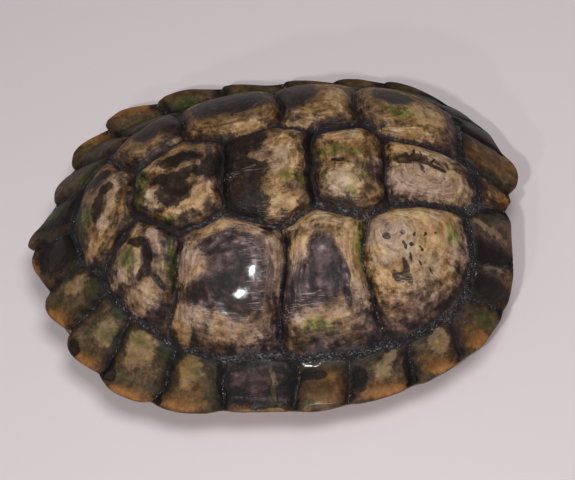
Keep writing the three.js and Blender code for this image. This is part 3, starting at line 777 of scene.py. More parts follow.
@dataclass
class Carapace:
    """The domed upper shell: shields outside, bone inside, in one skin."""

    net: SeamNet
    ring_step: float = 1.15
    last_ring: float = 0.4  # the even rings end this far before the centre
    border_rings: tuple[float, ...] = (0.0, 0.45, 0.95, 1.5, 2.15, 2.9)  # gaps of the outer rings
    inner_rings: float = 3.9  # gap at which the even rings begin
    groove: float = 1.3  # how much deeper than the shields' borders a seam lies
    groove_width: float = 1.35
    groove_power: float = 1.4
    corner: float = 2.3  # low values round a shield's corners off more
    crown_power: float = 2.1
    free_lift: float = 4.0  # a free edge lets the crown begin this far outside it
    roll: float = 0.9  # how far the surface rolls over at the free edge
    roll_width: float = 2.2
    soft_power: float = 1.5  # how softly the roll and the shingles' rise set in
    shingle_reach: float = 22.0  # how far in from the free edge a shingle still rises
    shingle_border: float = 0.9  # width over which its rise falls off at the seams
    hollow: float = 0.4  # how deep the horn is worn where it is dark
    ridge: float = 0.3  # how high it stands where it is pale
    wear_border: float = 4.0  # wear fades over this width towards a seam
    least_gap: float = 0.05  # keeps the blend of gaps finite on a seam
    oldest: tuple[float, float] = (-0.35, -0.25)  # where a flank shield's horn began, in its half-sizes
    wall: float = 4.6
    lip: float = 2.4
    # the rolled lip: how far it tucks in and drops
    lip_rings: tuple[tuple[float, float], ...] = ((0.05, 0.7), (0.3, 1.5), (0.7, 2.1), (1.2, 2.4))
    # the flat band under the rim: how far in from the rim's oval, and its drop below the lip
    band_rings: tuple[tuple[float, float], ...] = ((3.8, 0.2), (6.5, 0.4), (9.5, 0.35), (12.5, 0.2))
    # the hollow, as shares of the band's inner edge
    hollow_rings: tuple[float, ...] = (
        .985, .96, .94, .9, .86, .8, .74, .66, .58, .49, .4, .3, .2, .1, .01)
    band_corner: float = 3.4  # how far the hollow's first ring stands over the rim
    spine: float = 1.5  # ridge of the backbone along the inside
    spine_width: float = 3.2
    spine_reach: float = 78.0
    spine_fade: int = 6  # how sharply it ends there
    rib: float = 0.5
    rib_step: float = 17.0
    rib_middle: float = 24.0  # ribs are highest this far from the backbone
    rib_reach: float = 20.0
    rib_power: int = 3  # high values make ribs narrower than the gaps between them
    rib_fade: int = 4

    def shield_outline(self, shield: Shield, side: Side) -> tuple[np.ndarray, np.ndarray]:
        """The outline of a shield, anticlockwise.

        Args:
            shield: The shield.
            side: Half of the shell; a shield on the middle line takes both.

        Returns:
            The points and the numbers of their stretches.
        """
        if shield.row is ShieldRow.BACK:
            points, stretch = self.net.full_outline(shield.ring)
        else:
            points, stretch = self.net.outline(shield.ring, side, True)
        ahead = np.roll(points, -1, axis=0)
        if (points[:, 0] * ahead[:, 1] - ahead[:, 0] * points[:, 1]).sum() < 0:
            return points[::-1], stretch[::-1]
        return points, stretch

    def growth_centre(self, points: np.ndarray, shield: Shield, side: Side) -> np.ndarray:
        """The point in plan that a shield's rings shrink to.

        Args:
            points: The shield's outline.
            shield: The shield.
            side: Half of the shell.

        Returns:
            The point: the middle of the outline's length, moved by the shield's own offset.
        """
        ahead = np.roll(points, -1, axis=0)
        long = np.linalg.norm(ahead - points, axis=1)
        centre = ((points + ahead)[:, :2] * long[:, None] / 2).sum(axis=0) / long.sum()
        return centre + (shield.off[0], shield.off[1] * side.value)

    def oldest_point(self, centre: np.ndarray, points: np.ndarray, shield: Shield,
                     side: Side) -> np.ndarray:
        """The point in plan that a shield's horn grew out from.

        Args:
            centre: The shield's growth centre.
            points: Its outline.
            shield: The shield.
            side: Half of the shell.

        Returns:
            The point; on the flank it is nearer the shield's tail side and its upper side.
        """
        if shield.row is not ShieldRow.FLANK:
            return centre
        half = (points.max(axis=0) - points.min(axis=0))[:2] / 2
        return centre + half * (self.oldest[0], self.oldest[1] * side.value)

    def shrinking_rings(self, points: np.ndarray,
                        centre: np.ndarray) -> tuple[np.ndarray, np.ndarray, float]:
        """The rings that fill a shield: its outline outside, and rounder the further in.

        Args:
            points: The outline.
            centre: The point that they shrink to.

        Returns:
            Their plan points, rows by columns by two, their heights without the swell, and
            the outline's mean distance from the centre.
        """
        count = len(points)
        turn = 2 * math.pi * np.arange(count) / count
        out = points[:, :2] - centre
        waves = np.stack([np.cos(turn), np.sin(turn)])
        oval = (waves.T @ (waves @ out)) * 2 / count
        reach = float(np.linalg.norm(out, axis=1).mean())
        even = np.arange(self.inner_rings, reach - self.last_ring, self.ring_step)
        t = 1 - np.concatenate([self.border_rings, even, [reach]]) / reach
        t = t[:, None]
        own = t[..., None] ** 2
        plan = centre + (out * own + oval * (1 - own)) * t[..., None]
        lift = points[:, 2] - DOME.height(points[:, 0], points[:, 1])
        held = t**3
        height = DOME.height(plan[..., 0], plan[..., 1]) + lift * held + lift.mean() * (1 - held)
        return plan, height, reach

    def add_shield(self, mesh: SkinMesh, shield: Shield, side: Side) -> None:
        """Adds a shield: rings from its outline to its growth centre, swelling over the dome.

        Args:
            mesh: The skin that it is added to.
            shield: The shield.
            side: Half of the shell.
        """
        points, stretch = self.shield_outline(shield, side)
        free = stretch < 0
        centre = self.growth_centre(points, shield, side)
        plan, z, reach = self.shrinking_rings(points, centre)
        seam, edge = self.gaps(plan, points, stretch, self.widths_of(shield.ring))
        near = np.minimum(seam, edge + self.free_lift)
        crown = np.clip(near / near.max(), 0, 1)
        z += shield.peak * (1 - (1 - crown) ** self.crown_power)
        z -= self.groove * np.exp(-((seam / self.groove_width) ** self.groove_power))
        z -= self.roll * np.exp(-((edge / self.roll_width) ** self.soft_power))
        if shield.shingle:
            z += self.shingle_rise(shield, plan, points[free], seam, edge)
        name = shield.name + ("" if shield.row is ShieldRow.BACK else side.name[0])
        u, v = self.own_measure(shield, side, plan)
        fields = stain_fields(name, shield.row, u, v)
        border = np.clip(seam / self.wear_border, 0, 1)
        z -= self.hollow * steepened(fields[Stain.DARK.value]) * border
        z += self.ridge * steepened(fields[Stain.PALE.value]) * border
        away = plan - self.oldest_point(centre, points, shield, side)
        far = np.maximum(np.linalg.norm(away, axis=2), 1e-6)
        seed = sum(map(ord, name)) * 7 + side.value
        fields |= {
            "seam": seam,
            "free": edge,
            "tone": np.full(seam.shape, np.random.default_rng(seed).random()),
            "rim": np.full(seam.shape, float(shield.row is ShieldRow.RIM)),
            "ray_x": away[..., 0] / far,
            "ray_y": away[..., 1] / far,
            "growth": reach * seam / (seam + far) if shield.name in RINGED else seam,
        }
        grid = np.stack([plan[..., 0], plan[..., 1], z], axis=-1)
        grid[0] = points
        grid[0, :, 2] -= np.where(free, 0.0, self.groove)
        mesh.add_grid(grid, fields, Layer.HORN, True)

    def widths_of(self, ring: Sequence[str]) -> dict[int, float]:
        """Half-widths of the seams round a shield.

        Args:
            ring: The names round it, or round its right half.

        Returns:
            The half-width for each stretch's number, with those of a left half after them.
        """
        count = len(ring)
        widths = {i + 1: seam_width(ring[i], ring[(i + 1) % count]) for i in range(count)}
        return widths | {number + count: width for number, width in widths.items()}

    def gaps(self, plan: np.ndarray, points: np.ndarray, stretch: np.ndarray,
             widths: dict[int, float]) -> tuple[np.ndarray, np.ndarray]:
        """How far plan points are from a shield's seams and from its free edge.

        The gaps to the single seams are blended, so that lines of one gap turn a shield's
        corners in round bends.

        Args:
            plan: The plan points, rows by columns by two.
            points: The shield's outline.
            stretch: The number of the stretch that each outline point is on.
            widths: Half-width of the seam for each number.

        Returns:
            The two gaps at each plan point.
        """
        flat = plan.reshape(-1, 1, 2)
        total = np.zeros(len(flat))
        edge = np.full(len(flat), FAR)
        for number in np.unique(stretch):
            on = np.flatnonzero(stretch == number)
            if number > 0:
                on = np.unique(np.concatenate([on, (on + 1) % len(points), (on - 1) % len(points)]))
            gap = np.linalg.norm(flat - points[None, on, :2], axis=2).min(axis=1)
            if number < 0:
                edge = np.minimum(edge, gap)
            else:
                total += np.maximum(gap - widths[int(number)], self.least_gap) ** -self.corner
        seam = total ** (-1 / self.corner)
        return seam.reshape(plan.shape[:2]), edge.reshape(plan.shape[:2])

    def shingle_rise(self, shield: Shield, plan: np.ndarray, edge_line: np.ndarray,
                     seam: np.ndarray, edge: np.ndarray) -> np.ndarray:
        """The rise of a rim shield towards its tail side, where it stands over the next one.

        Args:
            shield: The shield.
            plan: The plan points of its rings.
            edge_line: The points of its free edge.
            seam: Gap of each plan point to the seams.
            edge: Gap of each to the free edge.

        Returns:
            The rise at each plan point.
        """
        order = edge_line[np.argsort(edge_line[:, 0])]
        tail, neck = order[0, :2], order[-1, :2]
        along = (neck - tail) / np.linalg.norm(neck - tail)
        share = np.clip((plan - tail) @ along / np.linalg.norm(neck - tail), 0, 1)
        fall = 1 - np.exp(-((seam / self.shingle_border) ** self.soft_power))
        outward = np.clip(1 - edge / self.shingle_reach, 0, 1)
        return shield.shingle * (1 - share) ** self.soft_power * fall * outward

    def own_measure(self, shield: Shield, side: Side,
                    plan: np.ndarray) -> tuple[np.ndarray, np.ndarray]:
        """A shield's own measure over plan points.

        Args:
            shield: The shield.
            side: Half of the shell.
            plan: The plan points.

        Returns:
            How far forward and how far outward each is, -1 to 1; on the middle line the
            right side counts as outward.
        """
        middle = shield.row is ShieldRow.BACK
        sides = (Side.RIGHT, Side.LEFT) if middle else (side,)
        named = [edge_at(name, half) if name in EDGES else point_at(name, half)[None]
                 for half in sides for name in shield.ring]
        corners = np.vstack(named)[:, :2]
        low, high = corners.min(axis=0), corners.max(axis=0)
        own = (plan - (low + high) / 2) / ((high - low) / 2)
        return own[..., 0], own[..., 1] * (-1 if middle else side.value)

    def under_rings(self) -> np.ndarray:
        """The rings from the free edge round the lip, along the band and up the hollow.

        Returns:
            Their points, rows by columns by three.
        """
        rim_line = self.net.rim_loop()
        ahead = np.roll(rim_line, -1, 0)
        if (rim_line[:, 0] * ahead[:, 1] - ahead[:, 0] * rim_line[:, 1]).sum() > 0:
            rim_line = rim_line[::-1]
        ray = rim_line[:, :2] - (RIM_OVAL.x0, 0)
        reach = np.linalg.norm(ray, axis=1)
        share = RIM_OVAL.share(ray)
        rings = [rim_line]
        for tuck, drop in self.lip_rings:
            plan = ray * ((reach - tuck) / reach)[:, None]
            rings.append(np.column_stack([plan + (RIM_OVAL.x0, 0), rim_line[:, 2] - drop]))
        for inset, drop in self.band_rings:
            plan = ray * ((reach / share - inset) / reach)[:, None]
            height = rim_line[:, 2] - self.lip - drop
            rings.append(np.column_stack([plan + (RIM_OVAL.x0, 0), height]))
        inner = rings[-1]
        for step, t in enumerate(self.hollow_rings):
            x = RIM_OVAL.x0 + (inner[:, 0] - RIM_OVAL.x0) * t
            y = inner[:, 1] * t
            roof = DOME.height(x, y) - self.wall
            inside = np.exp(-((x / self.spine_reach) ** self.spine_fade))
            spine = self.spine * np.exp(-((y / self.spine_width) ** 2)) * inside
            wave = np.maximum(np.cos(x * 2 * math.pi / self.rib_step), 0)
            ribs = self.rib * wave**self.rib_power
            ribs *= np.exp(-((np.abs(y) - self.rib_middle) / self.rib_reach) ** self.rib_fade)
            bare = roof - spine - ribs
            z = np.minimum(rim_line[:, 2] + self.band_corner, roof) if step == 0 else bare
            rings.append(np.column_stack([x, y, z]))
        return np.array(rings)

    def add_inside(self, mesh: SkinMesh) -> None:
        """Adds the lip in horn, and the band under the rim and the hollow in bone.

        Args:
            mesh: The skin that they are added to.
        """
        grid = self.under_rings()
        shape = grid.shape[:2]
        labels = [stain.value for stain in Stain] + ["tone", "rim", "ray_x", "ray_y", "growth"]
        fields = {label: np.zeros(shape) for label in labels}
        fields |= {label: np.full(shape, FAR) for label in GAP_FIELDS}
        fields["free"][0] = 0
        turn = len(self.lip_rings)  # the last ring of horn is the first of bone
        horn = {label: values[: turn + 1] for label, values in fields.items()}
        bone = {label: values[turn:] for label, values in fields.items()}
        mesh.add_grid(grid[: turn + 1], horn, Layer.HORN, True)
        mesh.add_grid(grid[turn:], bone, Layer.BONE, True)

    def build(self, horn: bpy.types.Material, bone: bpy.types.Material) -> bpy.types.Object:
        """Builds the carapace and lets it stand for the solid one.

        Args:
            horn: Finish of its outside.
            bone: Finish of its inside.

        Returns:
            The object.
        """
        mesh = SkinMesh()
        for shield in BACK_SHIELDS:
            self.add_shield(mesh, shield, Side.LEFT)
        for shield in FLANK_SHIELDS + RIM_SHIELDS:
            for side in Side:
                self.add_shield(mesh, shield, side)
        self.add_inside(mesh)
        piece = mesh.build("carapace_skin", (horn, bone))
        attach(piece, "root")
        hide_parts("carapace")
        return piece


@dataclass
class Plastron:
    """The flat lower shell: six pairs of yellow horn plates, with bridges up to the rim."""

    thick: float = 4.1
    bridge_reach: float = 72.5
    bridge_top: float = 13.7
    flat: float = 42.0  # half-width of the flat belly face
    notch_start: float = -66.0
    notch_depth: float = 7.0
    notch_width: float = 13.0
    notch_power: float = 1.4  # how sharply the tail notch comes to its point
    bridge_half: float = 60.0  # rows wider than this, from the middle line, are on the bridges
    step: float = 1.5
    groove: float = 0.55
    groove_width: float = 0.7
    # x, half-width and upturn of the outline, neck to tail
    stations: tuple[Place, ...] = (
        (88.5, 10, 5.4), (86, 20, 4.6), (81, 28, 3.4), (72, 34.5, 1.6), (64, 38, 0.5), (58, 41, 0),
        (54.6, 45.5, 0), (52, 53, 0), (49.6, 63, 0), (46, 69.5, 0), (40, 72.5, 0), (27, 72.5, 0),
        (9, 73.1, 0), (-6, 72.5, 0), (-19, 71.5, 0), (-24.6, 66, 0), (-28.2, 56, 0), (-30.8, 48, 0),
        (-33.6, 43.5, 0), (-36.4, 41.8, 0), (-48, 40, 0), (-57.6, 37.6, 0), (-60.4, 36.4, 0),
        (-68, 32.6, 0.3), (-76, 27.6, 1), (-82, 21.6, 1.8), (-85.4, 15, 2.4))
    # seams across the belly: x at the middle line, and how far each end leans to the tail
    cross_seams: tuple[tuple[float, float], ...] = (
        (69.0, -12.0), (49.0, 5.0), (25.6, 2.0), (-10.0, 3.0), (-35.0, -3.0), (-59.0, 7.0))
    bridge_seam: float = 50.0  # the seam between belly plates and bridge, from the middle line
    bridge_ends: tuple[float, float] = (-31.0, 47.0)
    rise_power: float = 1.35
    rise_past: float = 1.02  # the rise goes on to this share of the bridge's reach
    rise_over: float = 0.2  # the bridge's underside ends this much nearer its top
    columns: int = 97
    column_power: float = 0.9  # columns lie a little closer by the borders
    edge_power: float = 6.0
    # waves in the middle seam, in a cross seam and in the bridge seam: height and length
    middle_waves: tuple[tuple[float, float], ...] = ((0.5, 5.1), (0.3, 2.3))
    cross_wave: tuple[float, float] = (0.5, 4.3)
    bridge_wave: tuple[float, float] = (2.0, 11.0)
    lean_power: float = 1.4
    upturn_middle: float = 0.4  # how much of the upturn is left at the middle line
    groove_end: float = 0.97  # the grooves end before the border, at this share of the width
    edge_thin: float = 0.3  # how much thinner the free border is, as a share

    def rise(self, y: np.ndarray) -> np.ndarray:
        """Height of the bridges over the flat belly face."""
        u = np.clip((np.abs(y) - self.flat) / (self.bridge_reach - self.flat), 0, self.rise_past)
        return (self.bridge_top - self.thick + self.rise_over) * u**self.rise_power

    def seam_gap(self, x: np.ndarray, y: np.ndarray, half: np.ndarray) -> np.ndarray:
        """How far plan points are from the nearest seam between plates.

        Args:
            x: Places along the plastron.
            y: Places across it.
            half: Half-width of the plastron at each row.

        Returns:
            The gap at each point.
        """
        gap = np.abs(y - sum(height * np.sin(x / long) for height, long in self.middle_waves))
        height, long = self.cross_wave
        for at, lean in self.cross_seams:
            bent = lean * (np.abs(y) / np.maximum(half, 1)) ** self.lean_power
            gap = np.minimum(gap, np.abs(x - (at - bent + height * np.sin(y / long + at))))
        height, long = self.bridge_wave
        rear, front = self.bridge_ends
        bridge_gap = np.abs(np.abs(y) - self.bridge_seam + height * np.cos(x / long))
        return np.minimum(gap, np.where((x < front) & (x > rear), bridge_gap, FAR))

    def face(self, top: bool) -> tuple[np.ndarray, dict[str, np.ndarray]]:
        """One face of the plastron.

        Args:
            top: Whether it is the one inside the shell.

        Returns:
            Its points, rows from the neck to the tail, and its fields.
        """
        table = np.array(self.stations)
        long = np.arange(table[0, 0], table[-1, 0] - 0.01, -self.step)
        long = np.unique(np.concatenate([long, table[:, 0]]))[::-1]
        half = np.interp(long, table[::-1, 0], table[::-1, 1])[:, None]
        up = np.interp(long, table[::-1, 0], table[::-1, 2])[:, None]
        u = np.linspace(-1, 1, self.columns)
        u = (np.sign(u) * np.abs(u) ** self.column_power)[None, :]
        y = u * half
        pull = np.clip(self.notch_start - long, 0, None) / (self.notch_start - table[-1, 0])
        near = 1 - np.clip(np.abs(y) / self.notch_width, 0, 1)
        x = long[:, None] + self.notch_depth * (pull**2)[:, None] * near**self.notch_power
        base = self.rise(y) + up * (self.upturn_middle + (1 - self.upturn_middle) * u**2)
        gap = self.seam_gap(x, y, half)
        if top:
            thin = 1 - self.edge_thin * np.abs(u) ** self.edge_power * (half < self.bridge_half)
            z = base + self.thick * thin
            z = np.where(half > self.bridge_half, np.minimum(z, self.bridge_top), z)
        else:
            inside = np.abs(u) < self.groove_end
            z = base + self.groove * np.exp(-((gap / self.groove_width) ** 2)) * inside
        return np.stack([x, y, z], axis=-1), {"seam": gap}

    def borders(self, low: np.ndarray, high: np.ndarray) -> list[tuple[np.ndarray, np.ndarray]]:
        """The four borders of the two faces, each as lower and upper points."""
        return [(low[0], high[0]), (low[::-1, 0], high[::-1, 0]),
                (low[-1, ::-1], high[-1, ::-1]), (low[:, -1], high[:, -1])]

    def build(self, horn: bpy.types.Material, bone: bpy.types.Material) -> bpy.types.Object:
        """Builds the plastron and lets it stand for the solid one.

        Args:
            horn: Finish of its underside and borders.
            bone: Finish of its inside.

        Returns:
            The object.
        """
        mesh = SkinMesh()
        low, low_fields = self.face(False)
        high, high_fields = self.face(True)
        mesh.add_grid(low, low_fields, Layer.HORN, False)
        turned = {label: values[:, ::-1] for label, values in high_fields.items()}
        mesh.add_grid(high[:, ::-1], turned, Layer.BONE, False)
        for lower, upper in self.borders(low, high):
            grid = np.stack([upper, (upper * 2 + lower) / 3, (upper + lower * 2) / 3, lower])
            mesh.add_grid(grid, {"seam": np.full(grid.shape[:2], FAR)}, Layer.HORN, False)
        piece = mesh.build("plastron_skin", (horn, bone))
        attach(piece, "root")
        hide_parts("plastron")
        return piece


def linear(colour: str) -> tuple[float, float, float, float]:
    """Turns an sRGB colour into the values that a shader takes.

    Args:
        colour: Six hex digits, such as "a08040".

    Returns:
        Red, green and blue as linear values, and alpha.
    """
    parts = [int(colour[i : i + 2], 16) / 255 for i in (0, 2, 4)]
    values = [c / 12.92 if c <= 0.04045 else ((c + 0.055) / 1.055) ** 2.4 for c in parts]
    return (*values, 1.0)


Socket = bpy.types.NodeSocket
Input = Socket | float | str | tuple[float, ...]
EASE_INPUTS = ("Value", "From Min", "From Max", "To Min", "To Max")


class Step(Enum):
    """A step of a material: node type, its settings, its inputs in order, and its output."""

    PLACE = ("ShaderNodeTexCoord", {}, (), "Object")
    FIELD = ("ShaderNodeAttribute", {}, (), "Fac")
    STRETCH = ("ShaderNodeVectorMath", {"operation": "MULTIPLY_ADD"}, (0, 1, 2), 0)
    JOIN = ("ShaderNodeCombineXYZ", {}, (0, 1, 2), 0)
    HEIGHT = ("ShaderNodeSeparateXYZ", {}, (0,), 2)
    NOISE = ("ShaderNodeTexNoise", {}, ("Vector", "Scale", "Detail", "Roughness"), "Fac")
    PLUS = ("ShaderNodeMath", {"operation": "ADD"}, (0, 1), 0)
    LESS = ("ShaderNodeMath", {"operation": "SUBTRACT"}, (0, 1), 0)
    TIMES = ("ShaderNodeMath", {"operation": "MULTIPLY"}, (0, 1), 0)
    MOST = ("ShaderNodeMath", {"operation": "MAXIMUM"}, (0, 1), 0)
    EASE = ("ShaderNodeMapRange", {"interpolation_type": "SMOOTHSTEP"}, EASE_INPUTS, 0)
    PASS = ("ShaderNodeMapRange", {"interpolation_type": "SMOOTHSTEP"},
            ("Value", "To Min", "To Max"), 0)
    OVER = ("ShaderNodeMix", {"data_type": "RGBA"}, (0, 6, 7), 2)
    RUN = ("ShaderNodeValToRGB", {}, (0,), 0)
    BUMP = ("ShaderNodeBump", {}, ("Height", "Distance", "Strength"), 0)


class Finish:
    """A material in the making; its patterns follow the place of a point in millimetres."""

    name: str = "finish"
    # each noise: size of its grains in millimetres, detail and roughness
    grains: dict[str, tuple[float, float, float]] = {}

    def __init__(self) -> None:
        """Starts the material and its noises."""
        self.material = bpy.data.materials.new(self.name)
        self.material.use_nodes = True
        self.tree = self.material.node_tree
        self.shader = self.tree.nodes["Principled BSDF"]
        self.place = self.add(Step.STRETCH, self.add(Step.PLACE), (1 / MM,) * 3)
        self.noise = {label: self.add(Step.NOISE, self.place, 1 / size, detail, rough)
                      for label, (size, detail, rough) in self.grains.items()}

    def add(self, step: Step, *inputs: Input, **settings: str) -> Socket:
        """Adds a node with its settings and links.

        Args:
            step: What the node does.
            inputs: What goes into it, in the step's order.
            settings: Further settings of the node.

        Returns:
            The step's output.
        """
        kind, usual, names, output = step.value
        node = self.tree.nodes.new(kind)
        for name, value in (usual | settings).items():
            setattr(node, name, value)
        for name, value in zip(names, inputs):
            self.feed(node.inputs[name], value)
        return node.outputs[output]

    def feed(self, socket: Socket, value: Input) -> None:
        """Links a socket to another one, or sets its value or its sRGB colour.

        Args:
            socket: The socket to feed.
            value: What it gets.
        """
        if isinstance(value, Socket):
            self.tree.links.new(value, socket)
        else:
            socket.default_value = linear(value) if isinstance(value, str) else value

    def dress(self, inputs: dict[str, Input]) -> bpy.types.Material:
        """Feeds the shader and hands the material over.

        Args:
            inputs: What goes into the shader, by the names of its sockets.

        Returns:
            The material.
        """
        for name, value in inputs.items():
            self.feed(self.shader.inputs[name], value)
        return self.material


# A span that a value is eased over: from, to, and what it gives at either end
Span = tuple[float, float, float, float]


class ShieldHorn(Finish):
    """Keratin, the horn of a turtle's shields, grown in rings and worn: brown to tan and satin,
    dark and glossy where it is wet or bare, and chalky where an old layer has lifted."""

    name = "shield_horn_keratin"
    # runs of colour, each from worn dark to worn pale
    tan = ("1a130d", "433326", "7c634a", "b0967a", "dccab2")
    rust = ("201408", "513719", "886437", "b38d5c", "dcc094")
    amber = ("201006", "523213", "885a2e", "b0804a", "d6b27c")
    plum = ("1a1315", "40302f", "745b51", "a68878", "d2bbaa")
    algae = ("131509", "303514", "565c22", "80823a", "a8a568")
    dark = ("080403", "120a07", "20140e", "36251b", "5a4634")
    lilac = ("0b0809", "1b1415", "3a2b2c", "5c4a4a", "907f80")
    stops = (0.0, 0.25, 0.5, 0.72, 1.0)
    skin = "201a1e"  # the dark skin in the seams
    chalk = plum[4]
    grains = {
        "patches": (13.0, 3, 0.5), "clouds": (11.0, 2, 0.5), "smoke": (6.5, 2, 0.5),
        "blotches": (4.0, 4, 0.6), "flecks": (1.3, 4, 0.65), "beads": (0.8, 1, 0.5),
        "grit": (0.45, 2, 0.5),
    }
    # the same for growth rings, about 0.8 mm apart, and for the spokes across them, by direction
    ring_grain = (0.8, 2, 0.5)
    ring_wander = 0.12
    spoke_grain = (0.07, 4, 0.65)
    # and for the fine scratches, which are drawn out along the shell
    scratch_grain = (0.6, 3, 0.6)
    scratch_long = 0.11
    # rings show less on the rim: their least and most, on the dome and on the rim
    ring_least = (0.0, 0.3)
    ring_most = (1.0, 0.7)
    # how ragged and how soft each stain's border is
    borders = {
        Stain.PALE: (0.7, 0.28), Stain.PLUM: (0.5, 0.45), Stain.RUST: (0.6, 0.4),
        Stain.DARK: (1.0, 0.1), Stain.WET: (0.8, 0.3), Stain.ALGAE: (0.8, 0.45),
        Stain.SCRATCH: (1.0, 0.35),
    }
    # what each noise adds: to ragged borders, to the wear, to the relief, to lilac marks, to the
    # rim's smoke, and to the gap that the painted shade and grime, the amber edge and the seams' skin
    # go by
    ragged_by = {"blotches": 1.1, "flecks": 0.9, "spokes": 0.5}
    worn_by = {"blotches": 0.8, "flecks": 0.4, "spokes": 0.25, "rings": 0.46, "grit": 0.2}
    raised_by = {"rings": 0.6, "flecks": 0.5, "grit": 0.15, "blotches": 0.8}
    lined_by = {"rings": 0.5, "blotches": 0.5}
    smoke_by = {"clouds": 1.2}
    shade_and_dirt_by = {"blotches": 4.0, "flecks": 1.5}
    amber_by = {"blotches": 5.0}
    skin_by = {"flecks": 1.3}
    # wear of plain horn, and what pale patches, the rim and the painted shade and grime by the seams
    # change in it
    mean_wear = 0.42
    pale_wear = 0.22
    rim_wear = 0.12
    shade_wear = 0.42
    # the most that each layer covers
    grey_most = 0.5
    # the next: how much plum tint the painted shade by the seams takes
    plum_most = 0.85
    plum_shade_most = 0.4
    rust_most = 0.6
    warm_most = 0.4
    dark_most = 0.95
    algae_most = 0.7
    # the amber edge is darker where it is thin, brighter where it is full
    amber_mean = 0.4
    amber_glow = 0.34
    # what a layer is scaled by without and with a stain, or on the dome and on the rim
    calm_by_pale = (1.1, 0.85)
    calm_by_rim = (1.0, 0.6)
    shade_and_dirt_by_pale = (1.0, 0.4)
    shade_and_dirt_by_rim = (1.0, 0.7)
    # the next: pale patches take less of the plum stains and of the painted shade by the seams
    plum_and_shade_by_pale = (1.0, 0.5)
    amber_by_rust = (0.35, 1.0)
    ochre_by_rim = (1.0, 0.4)
    ochre_by_plum = (1.0, 0.45)
    # gloss: satin horn under a sharp wet film; of each pair, the second is for the seams
    ior = 1.54
    sheen = 0.2
    bare_rough = (0.58, 0.88)
    film_rough = (0.08, 0.2)
    film_ior = (1.5, 1.85)
    dark_film = 0.1  # dark marks shine a little, as if damp
    # relief: what scratches and beads add, what dark marks take, and how smooth a film is
    scratch_height = 0.4
    bead_height = 1.8
    dark_depth = 0.7
    film_smooth = 0.92
    bump_mm = 0.5
    bump_strength = 0.9
    # gaps to a seam or to the free edge, in millimetres
    # shade_span: painted shade, with some grime, full at the seam and gone 5 mm out
    shade_span: Span = (-1.2, 5.0, 1.0, 0.0)
    amber_span: Span = (0.8, 7.5, 1.0, 0.0)
    seam_span: Span = (0.0, 0.55, 0.97, 0.0)
    # height over the ground: water runs down, so the seams of the back are drier
    damp_span: Span = (38.0, 58.0, 1.0, 0.3)
    # how much of each noise shows, and how strongly
    grey_span: Span = (0.45, 0.65, 0.0, 1.0)
    ochre_span: Span = (0.44, 0.6, 0.0, 0.7)
    olive_span: Span = (0.4, 0.62, 0.05, 0.4)
    smoke_span: Span = (0.48, 0.8, 0.0, 0.5)
    scratch_span: Span = (0.5, 0.72, 0.0, 0.45)
    wet_span: Span = (0.4, 0.5, 0.0, 1.0)
    bead_span: Span = (0.42, 0.5, 0.0, 1.0)

    def __init__(self) -> None:
        """Starts the material with the fields of the mesh and the noises that follow growth."""
        super().__init__()
        labels = [stain.value for stain in Stain]
        labels += ["seam", "free", "tone", "rim", "ray_x", "ray_y", "growth"]
        self.field = {label: self.add(Step.FIELD, attribute_name=label) for label in labels}
        ray = self.add(Step.JOIN, self.field["ray_x"], self.field["ray_y"], self.field["tone"])
        size, detail, rough = self.spoke_grain
        self.noise["spokes"] = self.add(Step.NOISE, ray, 1 / size, detail, rough)
        growth = self.add(Step.JOIN, 0.0, 0.0, self.field["growth"])
        wander = (self.ring_wander, self.ring_wander, 0.0)
        grown = self.add(Step.STRETCH, self.place, wander, growth)
        size, detail, rough = self.ring_grain
        rings = self.add(Step.NOISE, grown, 1 / size, detail, rough)
        least, most = self.by_rim(*self.ring_least), self.by_rim(*self.ring_most)
        self.noise["rings"] = self.add(Step.PASS, rings, least, most)
        self.ragged = self.roughened(0.0, self.ragged_by)

    def by_rim(self, dome: float, rim: float) -> Socket:
        """One value on the shields of the dome and another on those of the rim."""
        return self.add(Step.PASS, self.field["rim"], dome, rim)

    def swing(self, label: str, reach: float) -> Socket:
        """A noise about zero, with the given reach."""
        return self.add(Step.TIMES, self.add(Step.LESS, self.noise[label], 0.5), reach)

    def roughened(self, value: Input, reaches: dict[str, float]) -> Socket:
        """Adds noises about zero to a value.

        Args:
            value: The value.
            reaches: The reach of each noise.

        Returns:
            The sum.
        """
        for label, reach in reaches.items():
            value = self.add(Step.PLUS, value, self.swing(label, reach))
        return value

    def edged(self, stain: Stain) -> Socket:
        """How strongly a stain shows, with a ragged border.

        Args:
            stain: The stain.

        Returns:
            0 outside it to 1 within.
        """
        rough, soft = self.borders[stain]
        total = self.add(Step.PLUS, self.field[stain.value], self.add(Step.TIMES, self.ragged, rough))
        return self.add(Step.EASE, total, 0.5 - soft, 0.5 + soft)

    def horn_colour(self, worn: Socket, colours: Sequence[str]) -> Socket:
        """The colour of horn by its wear.

        Args:
            worn: How worn it is, 0 to 1.
            colours: The run of colours.

        Returns:
            The colour.
        """
        colour = self.add(Step.RUN, worn)
        stops = colour.node.color_ramp.elements
        while len(stops) < len(colours):
            stops.new(0.5)
        for stop, at, shade in zip(stops, self.stops, colours):
            stop.position = at
            stop.color = linear(shade)
        return colour

    def shade(self, pale: Socket) -> Socket:
        """Painted shade, with some grime, darkening the horn towards the seams; less on pale patches
        and on the rim.

        Args:
            pale: The pale patches.

        Returns:
            0 away from the seams to 1 where the painted shade is darkest.
        """
        gap = self.roughened(self.field["seam"], self.shade_and_dirt_by)
        # painted shade and grime, darkest at each seam
        shade_and_dirt = self.add(Step.EASE, gap, *self.shade_span)
        shade_and_dirt = self.add(Step.TIMES, shade_and_dirt, self.add(Step.PASS, pale, *self.shade_and_dirt_by_pale))
        return self.add(Step.TIMES, shade_and_dirt, self.by_rim(*self.shade_and_dirt_by_rim))

